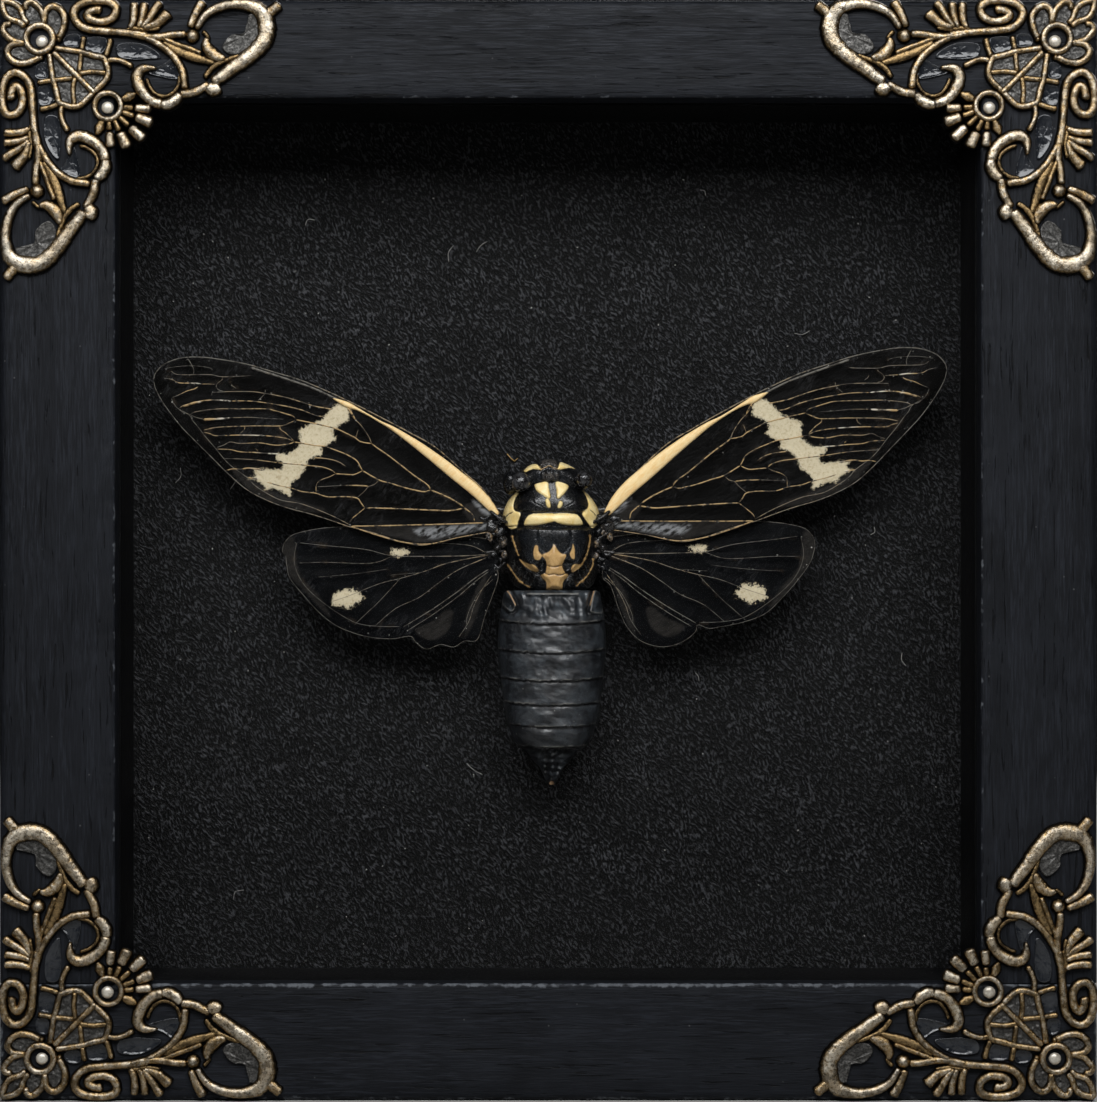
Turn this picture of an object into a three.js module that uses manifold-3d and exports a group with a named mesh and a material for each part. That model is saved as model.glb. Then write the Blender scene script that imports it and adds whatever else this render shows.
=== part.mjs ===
// A small black box frame with a spread cicada inside, in millimetres with +Z up.
// The frame stands on its bottom rail and faces -Y. The origin is the centre of its footprint.
import * as THREE from 'three';
import { mergeVertices } from 'three/addons/utils/BufferGeometryUtils.js';
import Module from 'manifold-3d';

const wasm = await Module();
wasm.setup();

// Frame
const FRAME_WIDTH = 152.4;
const FRAME_HEIGHT = 152.8;
const FRAME_DEPTH = 28;
const RAIL_LEFT = 16.1;
const RAIL_RIGHT = 16.2;
const RAIL_TOP = 13.7;
const RAIL_BOTTOM = 16.3;
const EDGE_ROUND = 0.8;
const LIP_DEPTH = 5;
const REBATE = 7;

// What the rebate holds, from the lip backwards
const PANE_THICKNESS = 2;
const SPACER_DEPTH = 17;
const BACKING_THICKNESS = 1;
const PANEL_THICKNESS = 3;
const FIT_GAP = 0.3;

// Corner ornaments and their nails
const ORNAMENT_THICKNESS = 1.3;
const RING_OUTER = 2.15;
const RING_HOLE = 1.5;
const NAIL_HEAD_RADIUS = 0.9;
const NAIL_HEAD_HEIGHT = 0.8;
const NAIL_SHANK_RADIUS = 0.35;
const NAIL_LENGTH = 4.5;
const NAIL_PLACES = [[6.0, 5.9], [15.1, 15.1]];

// Hanger and turn buttons on the back
const HARDWARE_DEPTH = 1.3;
const HANGER_WIDTH = 42;
const HANGER_HEIGHT = 8;
const BUTTON_LENGTH = 16;
const BUTTON_WIDTH = 5;
const BUTTON_THICKNESS = 0.8;

// Insect: body sections are [height, half width], measured along the body's own axis
const BODY_X = 0.7;
const BODY_Y = 3.6;
const BODY_SIDES = 16;
const BODY_FLATNESS = 0.86;
const HEAD_PROFILE = [[86.3, 6.2], [88.0, 5.6], [89.2, 3.6], [89.8, 1.4]];
const EYE_RADIUS = 1.7;
const EYE_PLACES = [[-4.6, 0.8, 87.2], [5.9, 0.8, 87.4]];
const THORAX_PROFILE = [
    [71.1, 5.6], [74.5, 6.7], [79.4, 6.5], [80.3, 7.0], [83.5, 6.7], [86.0, 5.4],
];
const ABDOMEN_PROFILE = [
    [43.2, 0.5], [44.1, 1.0], [45.8, 1.8], [48.4, 3.6], [48.8, 4.5], [50.4, 5.5], [52.6, 6.4], [55.8, 7.1],
    [59.9, 7.6], [63.1, 7.8], [66.3, 7.6], [68.6, 7.2], [70.8, 5.6],
];
const SEGMENT_SEAMS = [48.6, 51.5, 54.6, 58.1, 62.1, 66.3];
const SEAM_WIDTH = 0.3;
const SEAM_DEPTH = 0.35;
const LEG_RADIUS = 0.55;
const LEG_SIDES = 5;
const LEG_STEPS = 5;

// Wings: outlines are [distance out from the wings' mid line, height]
const WING_AXIS_X = 0.1;
const WING_THICKNESS = 0.5;
const FOREWING_Y = 2.1;
const HINDWING_Y = 3.1;
const LEFT_WING_DROOP = 1.5 * Math.PI / 180;
const WING_HINGE_HEIGHT = 80;
const FOREWING_OUTLINE = [
    [7.9, 82.0], [10.0, 85.4], [13.1, 88.4], [16.9, 91.9], [20.7, 94.2], [28.3, 98.4], [35.9, 102.0],
    [43.6, 104.5], [50.4, 105.7], [53.1, 105.6], [55.4, 104.8], [56.7, 103.5], [56.8, 101.8], [55.8, 99.1],
    [54.3, 96.8], [51.2, 94.2], [47.0, 89.4], [43.9, 86.4], [41.3, 84.6], [34.8, 82.9], [29.5, 80.9],
    [22.6, 78.7], [19.5, 78.0], [14.2, 78.9], [7.9, 79.3],
];
const HINDWING_RIGHT_OUTLINE = [
    [7.7, 78.6], [18.0, 79.4], [29.4, 80.9], [34.4, 80.5], [36.7, 79.9], [38.2, 77.4], [37.5, 75.1],
    [35.6, 72.4], [31.0, 67.7], [27.9, 66.5], [23.0, 65.6], [21.4, 66.1], [19.9, 64.0], [18.0, 63.1],
    [15.7, 62.9], [13.1, 63.8], [11.2, 65.9], [10.0, 68.6], [8.9, 71.7], [7.7, 72.8],
];
const HINDWING_LEFT_OUTLINE = [
    [7.1, 78.6], [18.0, 79.2], [28.6, 79.9], [32.4, 79.5], [35.1, 78.8], [37.0, 77.6], [37.6, 75.7],
    [37.2, 73.8], [33.2, 68.8], [28.6, 65.7], [22.8, 64.7], [20.2, 65.0], [19.4, 64.0], [17.9, 63.1],
    [15.9, 63.6], [14.0, 63.3], [10.6, 64.2], [9.4, 67.7], [7.5, 72.6],
];

const FRONT_Y = -FRAME_DEPTH / 2;
const BACK_Y = FRAME_DEPTH / 2;
const LIP_Y = FRONT_Y + LIP_DEPTH;
const PANE_Y = LIP_Y + PANE_THICKNESS;
const BACKING_Y = PANE_Y + SPACER_DEPTH;
const PANEL_Y = BACKING_Y + BACKING_THICKNESS;
const OPENING = {
    left: RAIL_LEFT - FRAME_WIDTH / 2,
    right: FRAME_WIDTH / 2 - RAIL_RIGHT,
    bottom: RAIL_BOTTOM,
    top: FRAME_HEIGHT - RAIL_TOP,
};
const POCKET = {
    left: OPENING.left - REBATE,
    right: OPENING.right + REBATE,
    bottom: OPENING.bottom - REBATE,
    top: OPENING.top + REBATE,
};

function finish(color, roughness, metalness = 0) {
    return new THREE.MeshStandardMaterial({ color, roughness, metalness });
}

const PAINT = finish(0x17191c, 0.6);
const BOARD = finish(0x121315, 0.9);
const PAPER = finish(0x14110f, 0.85);
const HARDBOARD = finish(0x5b4330, 0.85);
const BRONZE = finish(0x8a6636, 0.4, 1);
const STEEL = finish(0x9a9a98, 0.35, 1);
const SHELL = finish(0x15171b, 0.4);
const ABDOMEN_SHELL = finish(0x3a4048, 0.6);
const MEMBRANE = finish(0x1b1410, 0.35);
const GLASS = new THREE.MeshStandardMaterial({
    color: 0xeef4f2, roughness: 0.03, transparent: true, opacity: 0.06,
});

function toSolid(geometry) {
    const bare = geometry.index ? geometry.toNonIndexed() : geometry.clone();
    for (const name of Object.keys(bare.attributes)) {
        if (name !== 'position') bare.deleteAttribute(name);
    }
    const merged = mergeVertices(bare, 1e-4);
    return new wasm.Manifold(new wasm.Mesh({
        numProp: 3,
        vertProperties: merged.attributes.position.array,
        triVerts: merged.index.array,
    }));
}

function toGeometry(solid) {
    const mesh = solid.getMesh();
    const geometry = new THREE.BufferGeometry();
    geometry.setAttribute('position', new THREE.BufferAttribute(mesh.vertProperties, 3));
    geometry.setIndex(new THREE.BufferAttribute(mesh.triVerts, 1));
    geometry.computeVertexNormals();
    return geometry;
}

function addPiece(group, name, solid, material) {
    const piece = new THREE.Mesh(toGeometry(solid), material);
    piece.name = name;
    group.add(piece);
}

function union(solids) {
    return solids.reduce((whole, next) => whole.add(next));
}

// A box from its two opposite corners.
function block(x0, x1, y0, y1, z0, z1) {
    const geometry = new THREE.BoxGeometry(x1 - x0, y1 - y0, z1 - z0);
    geometry.translate((x0 + x1) / 2, (y0 + y1) / 2, (z0 + z1) / 2);
    return toSolid(geometry);
}

// A flat plate from an outline of [x, z] points, with its back face at backY.
function plate(outline, backY, thickness) {
    const shape = new THREE.Shape(outline.map(([x, z]) => new THREE.Vector2(x, z)));
    const geometry = new THREE.ExtrudeGeometry(shape, { depth: thickness, bevelEnabled: false });
    geometry.rotateX(Math.PI / 2);
    geometry.translate(0, backY, 0);
    return toSolid(geometry);
}

function circle(x, z, radius, sides) {
    return Array.from({ length: sides }, (_, i) => {
        const angle = (i + 0.5) * 2 * Math.PI / sides;
        return [x + radius * Math.cos(angle), z + radius * Math.sin(angle)];
    });
}

// A round pin along Y.
function pin(x, z, y0, y1, radius, sides) {
    return plate(circle(x, z, radius, sides), y1, y1 - y0);
}

function makeRails(group) {
    const outer = new THREE.Shape();
    const halfWidth = FRAME_WIDTH / 2 - EDGE_ROUND;
    outer.moveTo(-halfWidth, EDGE_ROUND);
    outer.lineTo(halfWidth, EDGE_ROUND);
    outer.lineTo(halfWidth, FRAME_HEIGHT - EDGE_ROUND);
    outer.lineTo(-halfWidth, FRAME_HEIGHT - EDGE_ROUND);
    const geometry = new THREE.ExtrudeGeometry(outer, {
        depth: FRAME_DEPTH - 2 * EDGE_ROUND,
        bevelThickness: EDGE_ROUND,
        bevelSize: EDGE_ROUND,
        bevelSegments: 2,
    });
    geometry.rotateX(Math.PI / 2);
    geometry.translate(0, BACK_Y - EDGE_ROUND, 0);
    const { left, right, bottom, top } = OPENING;
    const window = block(left, right, FRONT_Y - 1, BACK_Y + 1, bottom, top);
    const rebate = block(POCKET.left, POCKET.right, LIP_Y, BACK_Y + 1, POCKET.bottom, POCKET.top);
    let body = toSolid(geometry).subtract(window).subtract(rebate);
    for (const corner of CORNERS) {
        for (const place of NAIL_PLACES) {
            const [x, z] = corner.toFrame(place);
            const hole = NAIL_SHANK_RADIUS + FIT_GAP;
            body = body.subtract(pin(x, z, FRONT_Y - 1, FRONT_Y + NAIL_LENGTH, hole, 8));
        }
    }
    const edge = FRAME_WIDTH;
    const cut = (x0, x1, z0, z1) => body.intersect(block(x0, x1, -edge, edge, z0, z1));
    addPiece(group, 'frame_rail_bottom', cut(-edge, edge, -1, bottom), PAINT);
    addPiece(group, 'frame_rail_top', cut(-edge, edge, top, FRAME_HEIGHT + 1), PAINT);
    addPiece(group, 'frame_rail_left', cut(-edge, left, bottom, top), PAINT);
    addPiece(group, 'frame_rail_right', cut(right, edge, bottom, top), PAINT);
}

function makeInside(group) {
    const { left, right, bottom, top } = OPENING;
    const room = {
        left: POCKET.left + FIT_GAP,
        right: POCKET.right - FIT_GAP,
        bottom: POCKET.bottom + FIT_GAP,
        top: POCKET.top - FIT_GAP,
    };
    const layer = (y0, y1) => block(room.left, room.right, y0, y1, room.bottom, room.top);
    addPiece(group, 'glass_pane', layer(LIP_Y, PANE_Y), GLASS);
    const strip = (x0, x1, z0, z1) => block(x0, x1, PANE_Y, BACKING_Y, z0, z1);
    addPiece(group, 'spacer_bottom', strip(room.left, room.right, room.bottom, bottom), BOARD);
    addPiece(group, 'spacer_top', strip(room.left, room.right, top, room.top), BOARD);
    addPiece(group, 'spacer_left', strip(room.left, left, bottom, top), BOARD);
    addPiece(group, 'spacer_right', strip(right, room.right, bottom, top), BOARD);
    addPiece(group, 'backing_sheet', layer(BACKING_Y, PANEL_Y), PAPER);
    addPiece(group, 'back_panel', layer(PANEL_Y, BACK_Y), HARDBOARD);
}

// The four corners share one ornament. Its points are [along, down] from the frame's outer corner.
const CORNERS = [
    { name: 'top_left', side: -1, atTop: true },
    { name: 'top_right', side: 1, atTop: true },
    { name: 'bottom_left', side: -1, atTop: false },
    { name: 'bottom_right', side: 1, atTop: false },
].map((corner) => ({
    ...corner,
    toFrame: ([along, down]) => [
        corner.side * (FRAME_WIDTH / 2 - along),
        corner.atTop ? FRAME_HEIGHT - down : down,
    ],
}));

// The outline of a wire of even width along a row of points.
function wireOutline(points, width) {
    const sides = [[], []];
    points.forEach((point, i) => {
        const before = points[Math.max(i - 1, 0)];
        const after = points[Math.min(i + 1, points.length - 1)];
        const a = new THREE.Vector2(point[0] - before[0], point[1] - before[1]).normalize();
        const b = new THREE.Vector2(after[0] - point[0], after[1] - point[1]).normalize();
        const along = a.clone().add(b).normalize();
        const mitre = Math.max(along.dot(i ? a : b), 0.5);
        const reach = width / 2 / mitre;
        sides[0].push([point[0] - along.y * reach, point[1] + along.x * reach]);
        sides[1].unshift([point[0] + along.y * reach, point[1] - along.x * reach]);
    });
    return [...sides[0], ...sides[1]];
}

// One arm of the ornament, which runs beside the frame's edge. The other is its mirror image.
const ARM_WIRES = [
    {
        width: 0.95,
        points: [
            [20.4, 5.8], [15.3, 5.3], [11.6, 4.2], [10.9, 1.9], [13.2, 0.6], [16.0, 1.1], [16.3, 3.1],
            [14.0, 3.6], [13.0, 2.6], [14.8, 1.9],
        ],
    },
    {
        width: 1.2,
        points: [
            [20.0, 5.8], [27.2, 4.6], [29.0, 2.4], [32.1, 1.2], [35.4, 1.3], [37.3, 3.1], [37.1, 6.0], [30.3, 11.8],
        ],
    },
    { width: 1.1, points: [[26.2, 5.4], [28.5, 0.4]] },
    { width: 1.2, points: [[36.2, 2.6], [39.4, 0.8]] },
    { width: 1.4, points: [[28.6, 3.6], [28.5, 8.6]] },
    { width: 1.3, points: [[21.4, 6.2], [31.4, 9.8]] },
    { width: 1.2, points: [[20.0, 5.6], [24.0, 8.6], [25.6, 13.8]] },
    { width: 1.0, points: [[24.8, 10.0], [20.2, 10.6], [19.7, 13.2], [22.4, 15.2]] },
    { width: 1.5, points: [[22.0, 14.8], [26.0, 14.0], [30.2, 10.6]] },
    { width: 1.0, points: [[18.3, 0.3], [18.9, 5.6]] },
    { width: 1.0, points: [[22.2, 0.8], [18.9, 5.6]] },
];
const ARM_BEADS = [
    { at: [27.0, 6.1], radius: 1.1 },
    { at: [30.0, 12.8], radius: 1.2 },
];
const ARM_PLATES = [
    [[34.4, 2.0], [36.8, 4.0], [36.4, 6.2], [32.6, 9.2], [31.6, 5.9]],
];

// The middle of the ornament, on its diagonal: petals, a heart lattice and a fan of lobes.
const CORNER_PETALS = [
    [[5.0, 4.2], [3.6, 3.4], [3.6, 1.4], [4.7, 0.3], [6.0, 1.0], [6.6, 4.6]],
    [[6.2, 4.6], [7.0, 2.0], [8.2, 1.2], [9.2, 2.4], [9.2, 5.4], [8.2, 7.2]],
];
const CORNER_LEAF = [[4.6, 5.6], [0.5, 0.5], [5.6, 4.6]];
const HEART_WIRES = [
    { width: 0.9, points: [[8.0, 7.2], [11.9, 7.7], [14.4, 8.6], [15.6, 10.8], [13.6, 13.6]] },
    { width: 0.8, points: [[11.9, 4.8], [11.8, 10.8], [15.3, 11.2]] },
    { width: 0.8, points: [[16.0, 5.5], [15.2, 9.2], [19.9, 11.4]] },
];
const HEART_BAR = { width: 0.9, points: [[7.2, 7.2], [14.2, 14.2]] };
const FAN_CENTRE = [15.4, 15.3];
const FAN_REACH = { inner: 1.7, outer: 6.9, width: 1.4 };
const FAN_ANGLES = [4, 24, 44, 64, 86];

function makeOrnament(corner) {
    const swap = ([along, down]) => [down, along];
    const put = (points) => plate(points.map(corner.toFrame), FRONT_Y, ORNAMENT_THICKNESS);
    const both = (points) => [put(points), put(points.map(swap))];
    const wire = ({ points, width }) => both(wireOutline(points, width));
    const disc = (at, radius, sides) => circle(at[0], at[1], radius, sides);
    const fan = FAN_ANGLES.map((degrees) => {
        const angle = THREE.MathUtils.degToRad(degrees);
        const reach = FAN_REACH.outer - Math.abs(degrees - 45) / 65 * 1.4;
        const spoke = [FAN_REACH.inner, reach].map((length) => [
            FAN_CENTRE[0] + length * Math.cos(angle),
            FAN_CENTRE[1] + length * Math.sin(angle),
        ]);
        return put(wireOutline(spoke, FAN_REACH.width));
    });
    const whole = union([
        ...ARM_WIRES.flatMap(wire),
        ...ARM_BEADS.flatMap(({ at, radius }) => both(disc(at, radius, 6))),
        ...ARM_PLATES.flatMap(both),
        ...CORNER_PETALS.flatMap(both),
        ...HEART_WIRES.flatMap(wire),
        ...fan,
        put(CORNER_LEAF),
        put(wireOutline(HEART_BAR.points, HEART_BAR.width)),
        put(disc(NAIL_PLACES[0], RING_OUTER, 8)),
        put(disc(FAN_CENTRE, RING_OUTER, 8)),
    ]);
    return NAIL_PLACES.reduce((left, place) => {
        const [x, z] = corner.toFrame(place);
        return left.subtract(pin(x, z, FRONT_Y - 3, FRONT_Y + 1, RING_HOLE, 8));
    }, whole);
}

function makeNail(x, z) {
    const head = pin(x, z, FRONT_Y - NAIL_HEAD_HEIGHT, FRONT_Y, NAIL_HEAD_RADIUS, 8);
    const shank = pin(x, z, FRONT_Y - NAIL_HEAD_HEIGHT / 2, FRONT_Y + NAIL_LENGTH - FIT_GAP, NAIL_SHANK_RADIUS, 6);
    return head.add(shank);
}

function makeCorners(group) {
    for (const corner of CORNERS) {
        addPiece(group, `filigree_corner_${corner.name}`, makeOrnament(corner), BRONZE);
        NAIL_PLACES.forEach((place, i) => {
            const where = i === 0 ? 'outer' : 'inner';
            addPiece(group, `nail_${corner.name}_${where}`, makeNail(...corner.toFrame(place)), STEEL);
        });
    }
}

function makeBackHardware(group) {
    const middle = FRAME_HEIGHT - (RAIL_TOP - REBATE) / 2 - 0.5;
    const teeth = 12;
    const low = middle - HANGER_HEIGHT / 2;
    const outline = [[HANGER_WIDTH / 2, low + 2], [HANGER_WIDTH / 2, low + 6], [-HANGER_WIDTH / 2, low + 6]];
    outline.push([-HANGER_WIDTH / 2, low + 2]);
    for (let i = 0; i <= teeth; i += 1) {
        const x = (i / teeth - 0.5) * (HANGER_WIDTH - 12);
        outline.push([x, low + 1]);
        if (i < teeth) outline.push([x + (HANGER_WIDTH - 12) / teeth / 2, low + 2.2]);
    }
    addPiece(group, 'sawtooth_hanger', plate(outline, BACK_Y + HARDWARE_DEPTH, HARDWARE_DEPTH), STEEL);
    const { left, right } = OPENING;
    const heights = [FRAME_HEIGHT * 0.28, FRAME_HEIGHT * 0.72];
    const sides = [['left', left - REBATE], ['right', right + REBATE]];
    for (const [side, x] of sides) {
        heights.forEach((z, i) => {
            const reach = BUTTON_LENGTH / 2;
            const button = block(
                x - reach, x + reach, BACK_Y, BACK_Y + BUTTON_THICKNESS, z - BUTTON_WIDTH / 2, z + BUTTON_WIDTH / 2,
            );
            addPiece(group, `turn_button_${side}_${i === 0 ? 'lower' : 'upper'}`, button, STEEL);
        });
    }
}

// A body piece turned about the insect's axis, flattened, and cut where it rests on the backing.
function bodyPiece(profile, grow = 0) {
    const closed = [
        new THREE.Vector2(0, profile[0][0] - grow),
        ...profile.map(([height, radius], i) => {
            const end = i === 0 ? -grow : i === profile.length - 1 ? grow : 0;
            return new THREE.Vector2(radius + grow, height + end);
        }),
        new THREE.Vector2(0, profile[profile.length - 1][0] + grow),
    ];
    const geometry = new THREE.LatheGeometry(closed, BODY_SIDES);
    geometry.scale(1, 1, BODY_FLATNESS);
    geometry.rotateX(Math.PI / 2);
    geometry.translate(BODY_X, BODY_Y, 0);
    return toSolid(geometry).intersect(block(-99, 99, -99, BACKING_Y, 0, 199));
}

function ball(x, y, z, radius) {
    const geometry = new THREE.SphereGeometry(radius, 10, 6);
    geometry.translate(x, y, z);
    return toSolid(geometry);
}

// Each leg is folded out under the wings and rests near the backing.
const LEG_PATHS = [
    [[4.5, 7.2, 82.5], [8.2, 7.0, 82.8], [11.0, 8.4, 84.0], [12.4, 9.2, 86.2]],
    [[5.0, 7.4, 79.5], [9.4, 6.6, 79.0], [13.2, 8.2, 78.0], [15.0, 9.2, 75.5]],
    [[4.6, 7.4, 74.5], [9.4, 6.6, 73.6], [11.6, 8.2, 71.0], [12.4, 9.2, 67.4]],
];

function makeLeg(path, side) {
    const points = path.map(([x, y, z]) => new THREE.Vector3(BODY_X + side * x, y, z));
    const section = new THREE.Shape(circle(0, 0, LEG_RADIUS, LEG_SIDES).map(([x, y]) => new THREE.Vector2(x, y)));
    const geometry = new THREE.ExtrudeGeometry(section, {
        steps: LEG_STEPS,
        extrudePath: new THREE.CatmullRomCurve3(points),
    });
    return toSolid(geometry);
}

function makeBody(group) {
    const head = union([
        bodyPiece(HEAD_PROFILE),
        ...EYE_PLACES.map(([x, y, z]) => ball(x, y, z, EYE_RADIUS)),
    ]);
    const clearOfHead = block(-99, 99, -99, 99, THORAX_PROFILE.at(-1)[0] + FIT_GAP, 199);
    addPiece(group, 'cicada_head', head.intersect(clearOfHead), SHELL);
    const legs = LEG_PATHS.flatMap((path) => [makeLeg(path, -1), makeLeg(path, 1)]);
    addPiece(group, 'cicada_thorax', union([bodyPiece(THORAX_PROFILE), ...legs]), SHELL);
    addPiece(group, 'cicada_abdomen', bodyPiece(withSeams(ABDOMEN_PROFILE, SEGMENT_SEAMS)), ABDOMEN_SHELL);
}

// The profile with a small step at each seam, where one segment's rear edge laps over the next.
function withSeams(profile, seams) {
    const radiusAt = (height) => {
        const above = profile.findIndex(([z]) => z > height);
        const [z0, r0] = profile[above - 1];
        const [z1, r1] = profile[above];
        return r0 + (r1 - r0) * (height - z0) / (z1 - z0);
    };
    const steps = seams.flatMap((height) => [
        [height - SEAM_WIDTH, radiusAt(height) - SEAM_DEPTH],
        [height, radiusAt(height)],
    ]);
    const clear = profile.filter(([z]) => seams.every((height) => Math.abs(z - height) > 2 * SEAM_WIDTH));
    return [...clear, ...steps].sort((a, b) => a[0] - b[0]);
}

function makeWing(outline, side, backY) {
    const droop = side < 0 ? LEFT_WING_DROOP : 0;
    const turned = outline.map(([out, height]) => {
        const rise = height - WING_HINGE_HEIGHT;
        return [
            WING_AXIS_X + side * (out * Math.cos(droop) + rise * Math.sin(droop)),
            WING_HINGE_HEIGHT + rise * Math.cos(droop) - out * Math.sin(droop),
        ];
    });
    const clearance = union([THORAX_PROFILE, ABDOMEN_PROFILE].map((profile) => bodyPiece(profile, FIT_GAP)));
    return plate(turned, backY, WING_THICKNESS).subtract(clearance);
}

function makeWings(group) {
    addPiece(group, 'forewing_left', makeWing(FOREWING_OUTLINE, -1, FOREWING_Y), MEMBRANE);
    addPiece(group, 'forewing_right', makeWing(FOREWING_OUTLINE, 1, FOREWING_Y), MEMBRANE);
    addPiece(group, 'hindwing_left', makeWing(HINDWING_LEFT_OUTLINE, -1, HINDWING_Y), MEMBRANE);
    addPiece(group, 'hindwing_right', makeWing(HINDWING_RIGHT_OUTLINE, 1, HINDWING_Y), MEMBRANE);
}

const group = new THREE.Group();
makeRails(group);
makeInside(group);
makeCorners(group);
makeBackHardware(group);
makeBody(group);
makeWings(group);

export default group;
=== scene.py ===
"""Dresses a small black box frame that holds one spread cicada on grained black board.

Lengths are millimetres in the frame's own axes, +X to the viewer's right, +Z up and -Y to the front, until a
mesh is made. Points on a wing are (out, height): the distance out from the wings' mid line, and the height.
Points on a corner ornament are (along, down) from the frame's outer corner at the top left, and the other
three corners mirror them.
"""

import logging
from dataclasses import dataclass, field
from enum import Enum

import bpy
import numpy as np
from bpy.types import Material, Node, NodeSocket, NodeTree
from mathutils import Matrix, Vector

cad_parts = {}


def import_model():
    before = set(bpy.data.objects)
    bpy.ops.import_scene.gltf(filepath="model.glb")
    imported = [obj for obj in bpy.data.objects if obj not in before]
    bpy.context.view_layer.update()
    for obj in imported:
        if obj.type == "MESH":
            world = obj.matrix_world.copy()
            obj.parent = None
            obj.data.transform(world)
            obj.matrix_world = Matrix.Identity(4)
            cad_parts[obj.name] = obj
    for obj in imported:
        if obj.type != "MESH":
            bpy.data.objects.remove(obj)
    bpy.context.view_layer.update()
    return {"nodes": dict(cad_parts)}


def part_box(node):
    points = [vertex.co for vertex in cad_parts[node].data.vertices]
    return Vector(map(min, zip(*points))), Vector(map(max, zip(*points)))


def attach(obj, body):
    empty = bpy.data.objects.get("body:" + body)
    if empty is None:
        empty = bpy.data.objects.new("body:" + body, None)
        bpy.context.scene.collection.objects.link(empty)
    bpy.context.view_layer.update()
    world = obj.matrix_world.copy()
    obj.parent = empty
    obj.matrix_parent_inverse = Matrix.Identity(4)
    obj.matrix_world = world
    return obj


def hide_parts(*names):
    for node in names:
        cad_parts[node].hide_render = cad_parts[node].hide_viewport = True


LOG = logging.getLogger("specimen")
MM = 0.001
ABSENT = -9.0
BODY = "root"
DUST = "dust specks"
BLOTCH = "soft blotches"
Points = list[tuple[float, ...]]
Pair = tuple[float, float]
Triple = tuple[float, float, float]
Marks = dict[str, np.ndarray]


# Curves and meshes


def smooth_line(points: Points | np.ndarray, step: float, closed: bool = False) -> np.ndarray:
    """A Catmull-Rom curve through the points, each span a cubic of its four nearest, at an even step.

    Args:
        points: The knots, in two or three dimensions.
        step: The distance between the points that come back.
        closed: True to run back to the first knot.

    Returns:
        The points along the curve, without the first one again if it is closed.
    """
    knots = np.asarray(points, dtype=float)
    if closed:
        ring = np.vstack([knots[-1], knots, knots[0], knots[1]])
    else:
        ring = np.vstack([2 * knots[0] - knots[1], knots, 2 * knots[-1] - knots[-2]])
    t = np.linspace(0, 1, 20, endpoint=False)[None, :, None]
    a, b, c, d = (ring[i : len(ring) - 3 + i, None, :] for i in range(4))
    spans = b + 0.5 * t * (c - a + t * (2 * a - 5 * b + 4 * c - d + t * (3 * (b - c) + d - a)))
    dense = np.vstack([spans.reshape(-1, knots.shape[1]), ring[-2]])
    length = np.concatenate([[0], np.cumsum(np.linalg.norm(np.diff(dense, axis=0), axis=1))])
    count = max(int(round(length[-1] / step)), 2) + 1
    at = np.linspace(0, length[-1], count)
    line = np.stack([np.interp(at, length, column) for column in dense.T], axis=1)
    return line[:-1] if closed else line


def between(values: np.ndarray, low: float, high: float) -> np.ndarray:
    """A smooth step from 0 at low to 1 at high."""
    t = np.clip((values - low) / (high - low), 0, 1)
    return t * t * (3 - 2 * t)


def bump_at(distance: np.ndarray, width: float) -> np.ndarray:
    """A Gaussian bell, 1 where the distance is nought."""
    return np.exp(-((distance / width) ** 2))


def ripple(values: np.ndarray, seed: int, size: float) -> np.ndarray:
    """A smooth wandering line, the mean of sines whose wavelengths are near size.

    Args:
        values: Where along the line, as any array.
        seed: Picks the phases.
        size: The longest wavelength.

    Returns:
        Numbers from about -1 to 1, one for each value.
    """
    phases = np.random.default_rng(seed).uniform(0, 2 * np.pi, 6)
    waves = [np.sin(2 * np.pi * values * (1 + 0.9 * i) / size + phase) for i, phase in enumerate(phases)]
    return sum(waves) / 2.6


def rough_field(points: np.ndarray, seed: int, size: float) -> np.ndarray:
    """A smooth lumpy field in space, the mean of sines that run in seeded directions.

    Args:
        points: Points as rows.
        seed: Picks the directions and phases.
        size: The size of the lumps.

    Returns:
        Numbers from about -1 to 1, one for each point.
    """
    dice = np.random.default_rng(seed)
    ways = dice.normal(size=(9, points.shape[1]))
    ways *= (2 * np.pi / size) * dice.uniform(0.6, 1.7, (9, 1)) / np.linalg.norm(ways, axis=1, keepdims=True)
    return np.sin(points @ ways.T + dice.uniform(0, 2 * np.pi, 9)).sum(axis=1) / 4


def line_distance(points: np.ndarray, line: Points | np.ndarray, closed: bool = False) -> np.ndarray:
    """The distance from each point to the nearest stretch of a line, by projecting it on every stretch.

    Args:
        points: Points as rows of two numbers.
        line: The line's corners.
        closed: True to join its ends.

    Returns:
        One distance for each point.
    """
    start = np.asarray(line, dtype=float)
    end = np.roll(start, -1, axis=0)
    if not closed:
        start, end = start[:-1], end[:-1]
    best = np.full(len(points), np.inf)
    for a, b in zip(start, end):
        run = b - a
        t = np.clip((points - a) @ run / max(run @ run, 1e-9), 0, 1)
        best = np.minimum(best, np.linalg.norm(points - a - t[:, None] * run, axis=1))
    return best


def depth_inside(points: np.ndarray, outline: Points | np.ndarray) -> np.ndarray:
    """How far inside a closed outline each point is, and below nought outside it.

    Args:
        points: Points as rows of two numbers.
        outline: The outline's corners.

    Returns:
        One signed distance for each point. A point is inside if a level ray crosses the outline an odd
        number of times.
    """
    ring = np.asarray(outline, dtype=float)
    inside = np.zeros(len(points), dtype=bool)
    for a, b in zip(ring, np.roll(ring, -1, axis=0)):
        if a[1] != b[1]:
            cross = a[0] + (points[:, 1] - a[1]) * (b[0] - a[0]) / (b[1] - a[1])
            inside ^= ((a[1] > points[:, 1]) != (b[1] > points[:, 1])) & (points[:, 0] < cross)
    distance = line_distance(points, ring, closed=True)
    return np.where(inside, distance, -distance)


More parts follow.
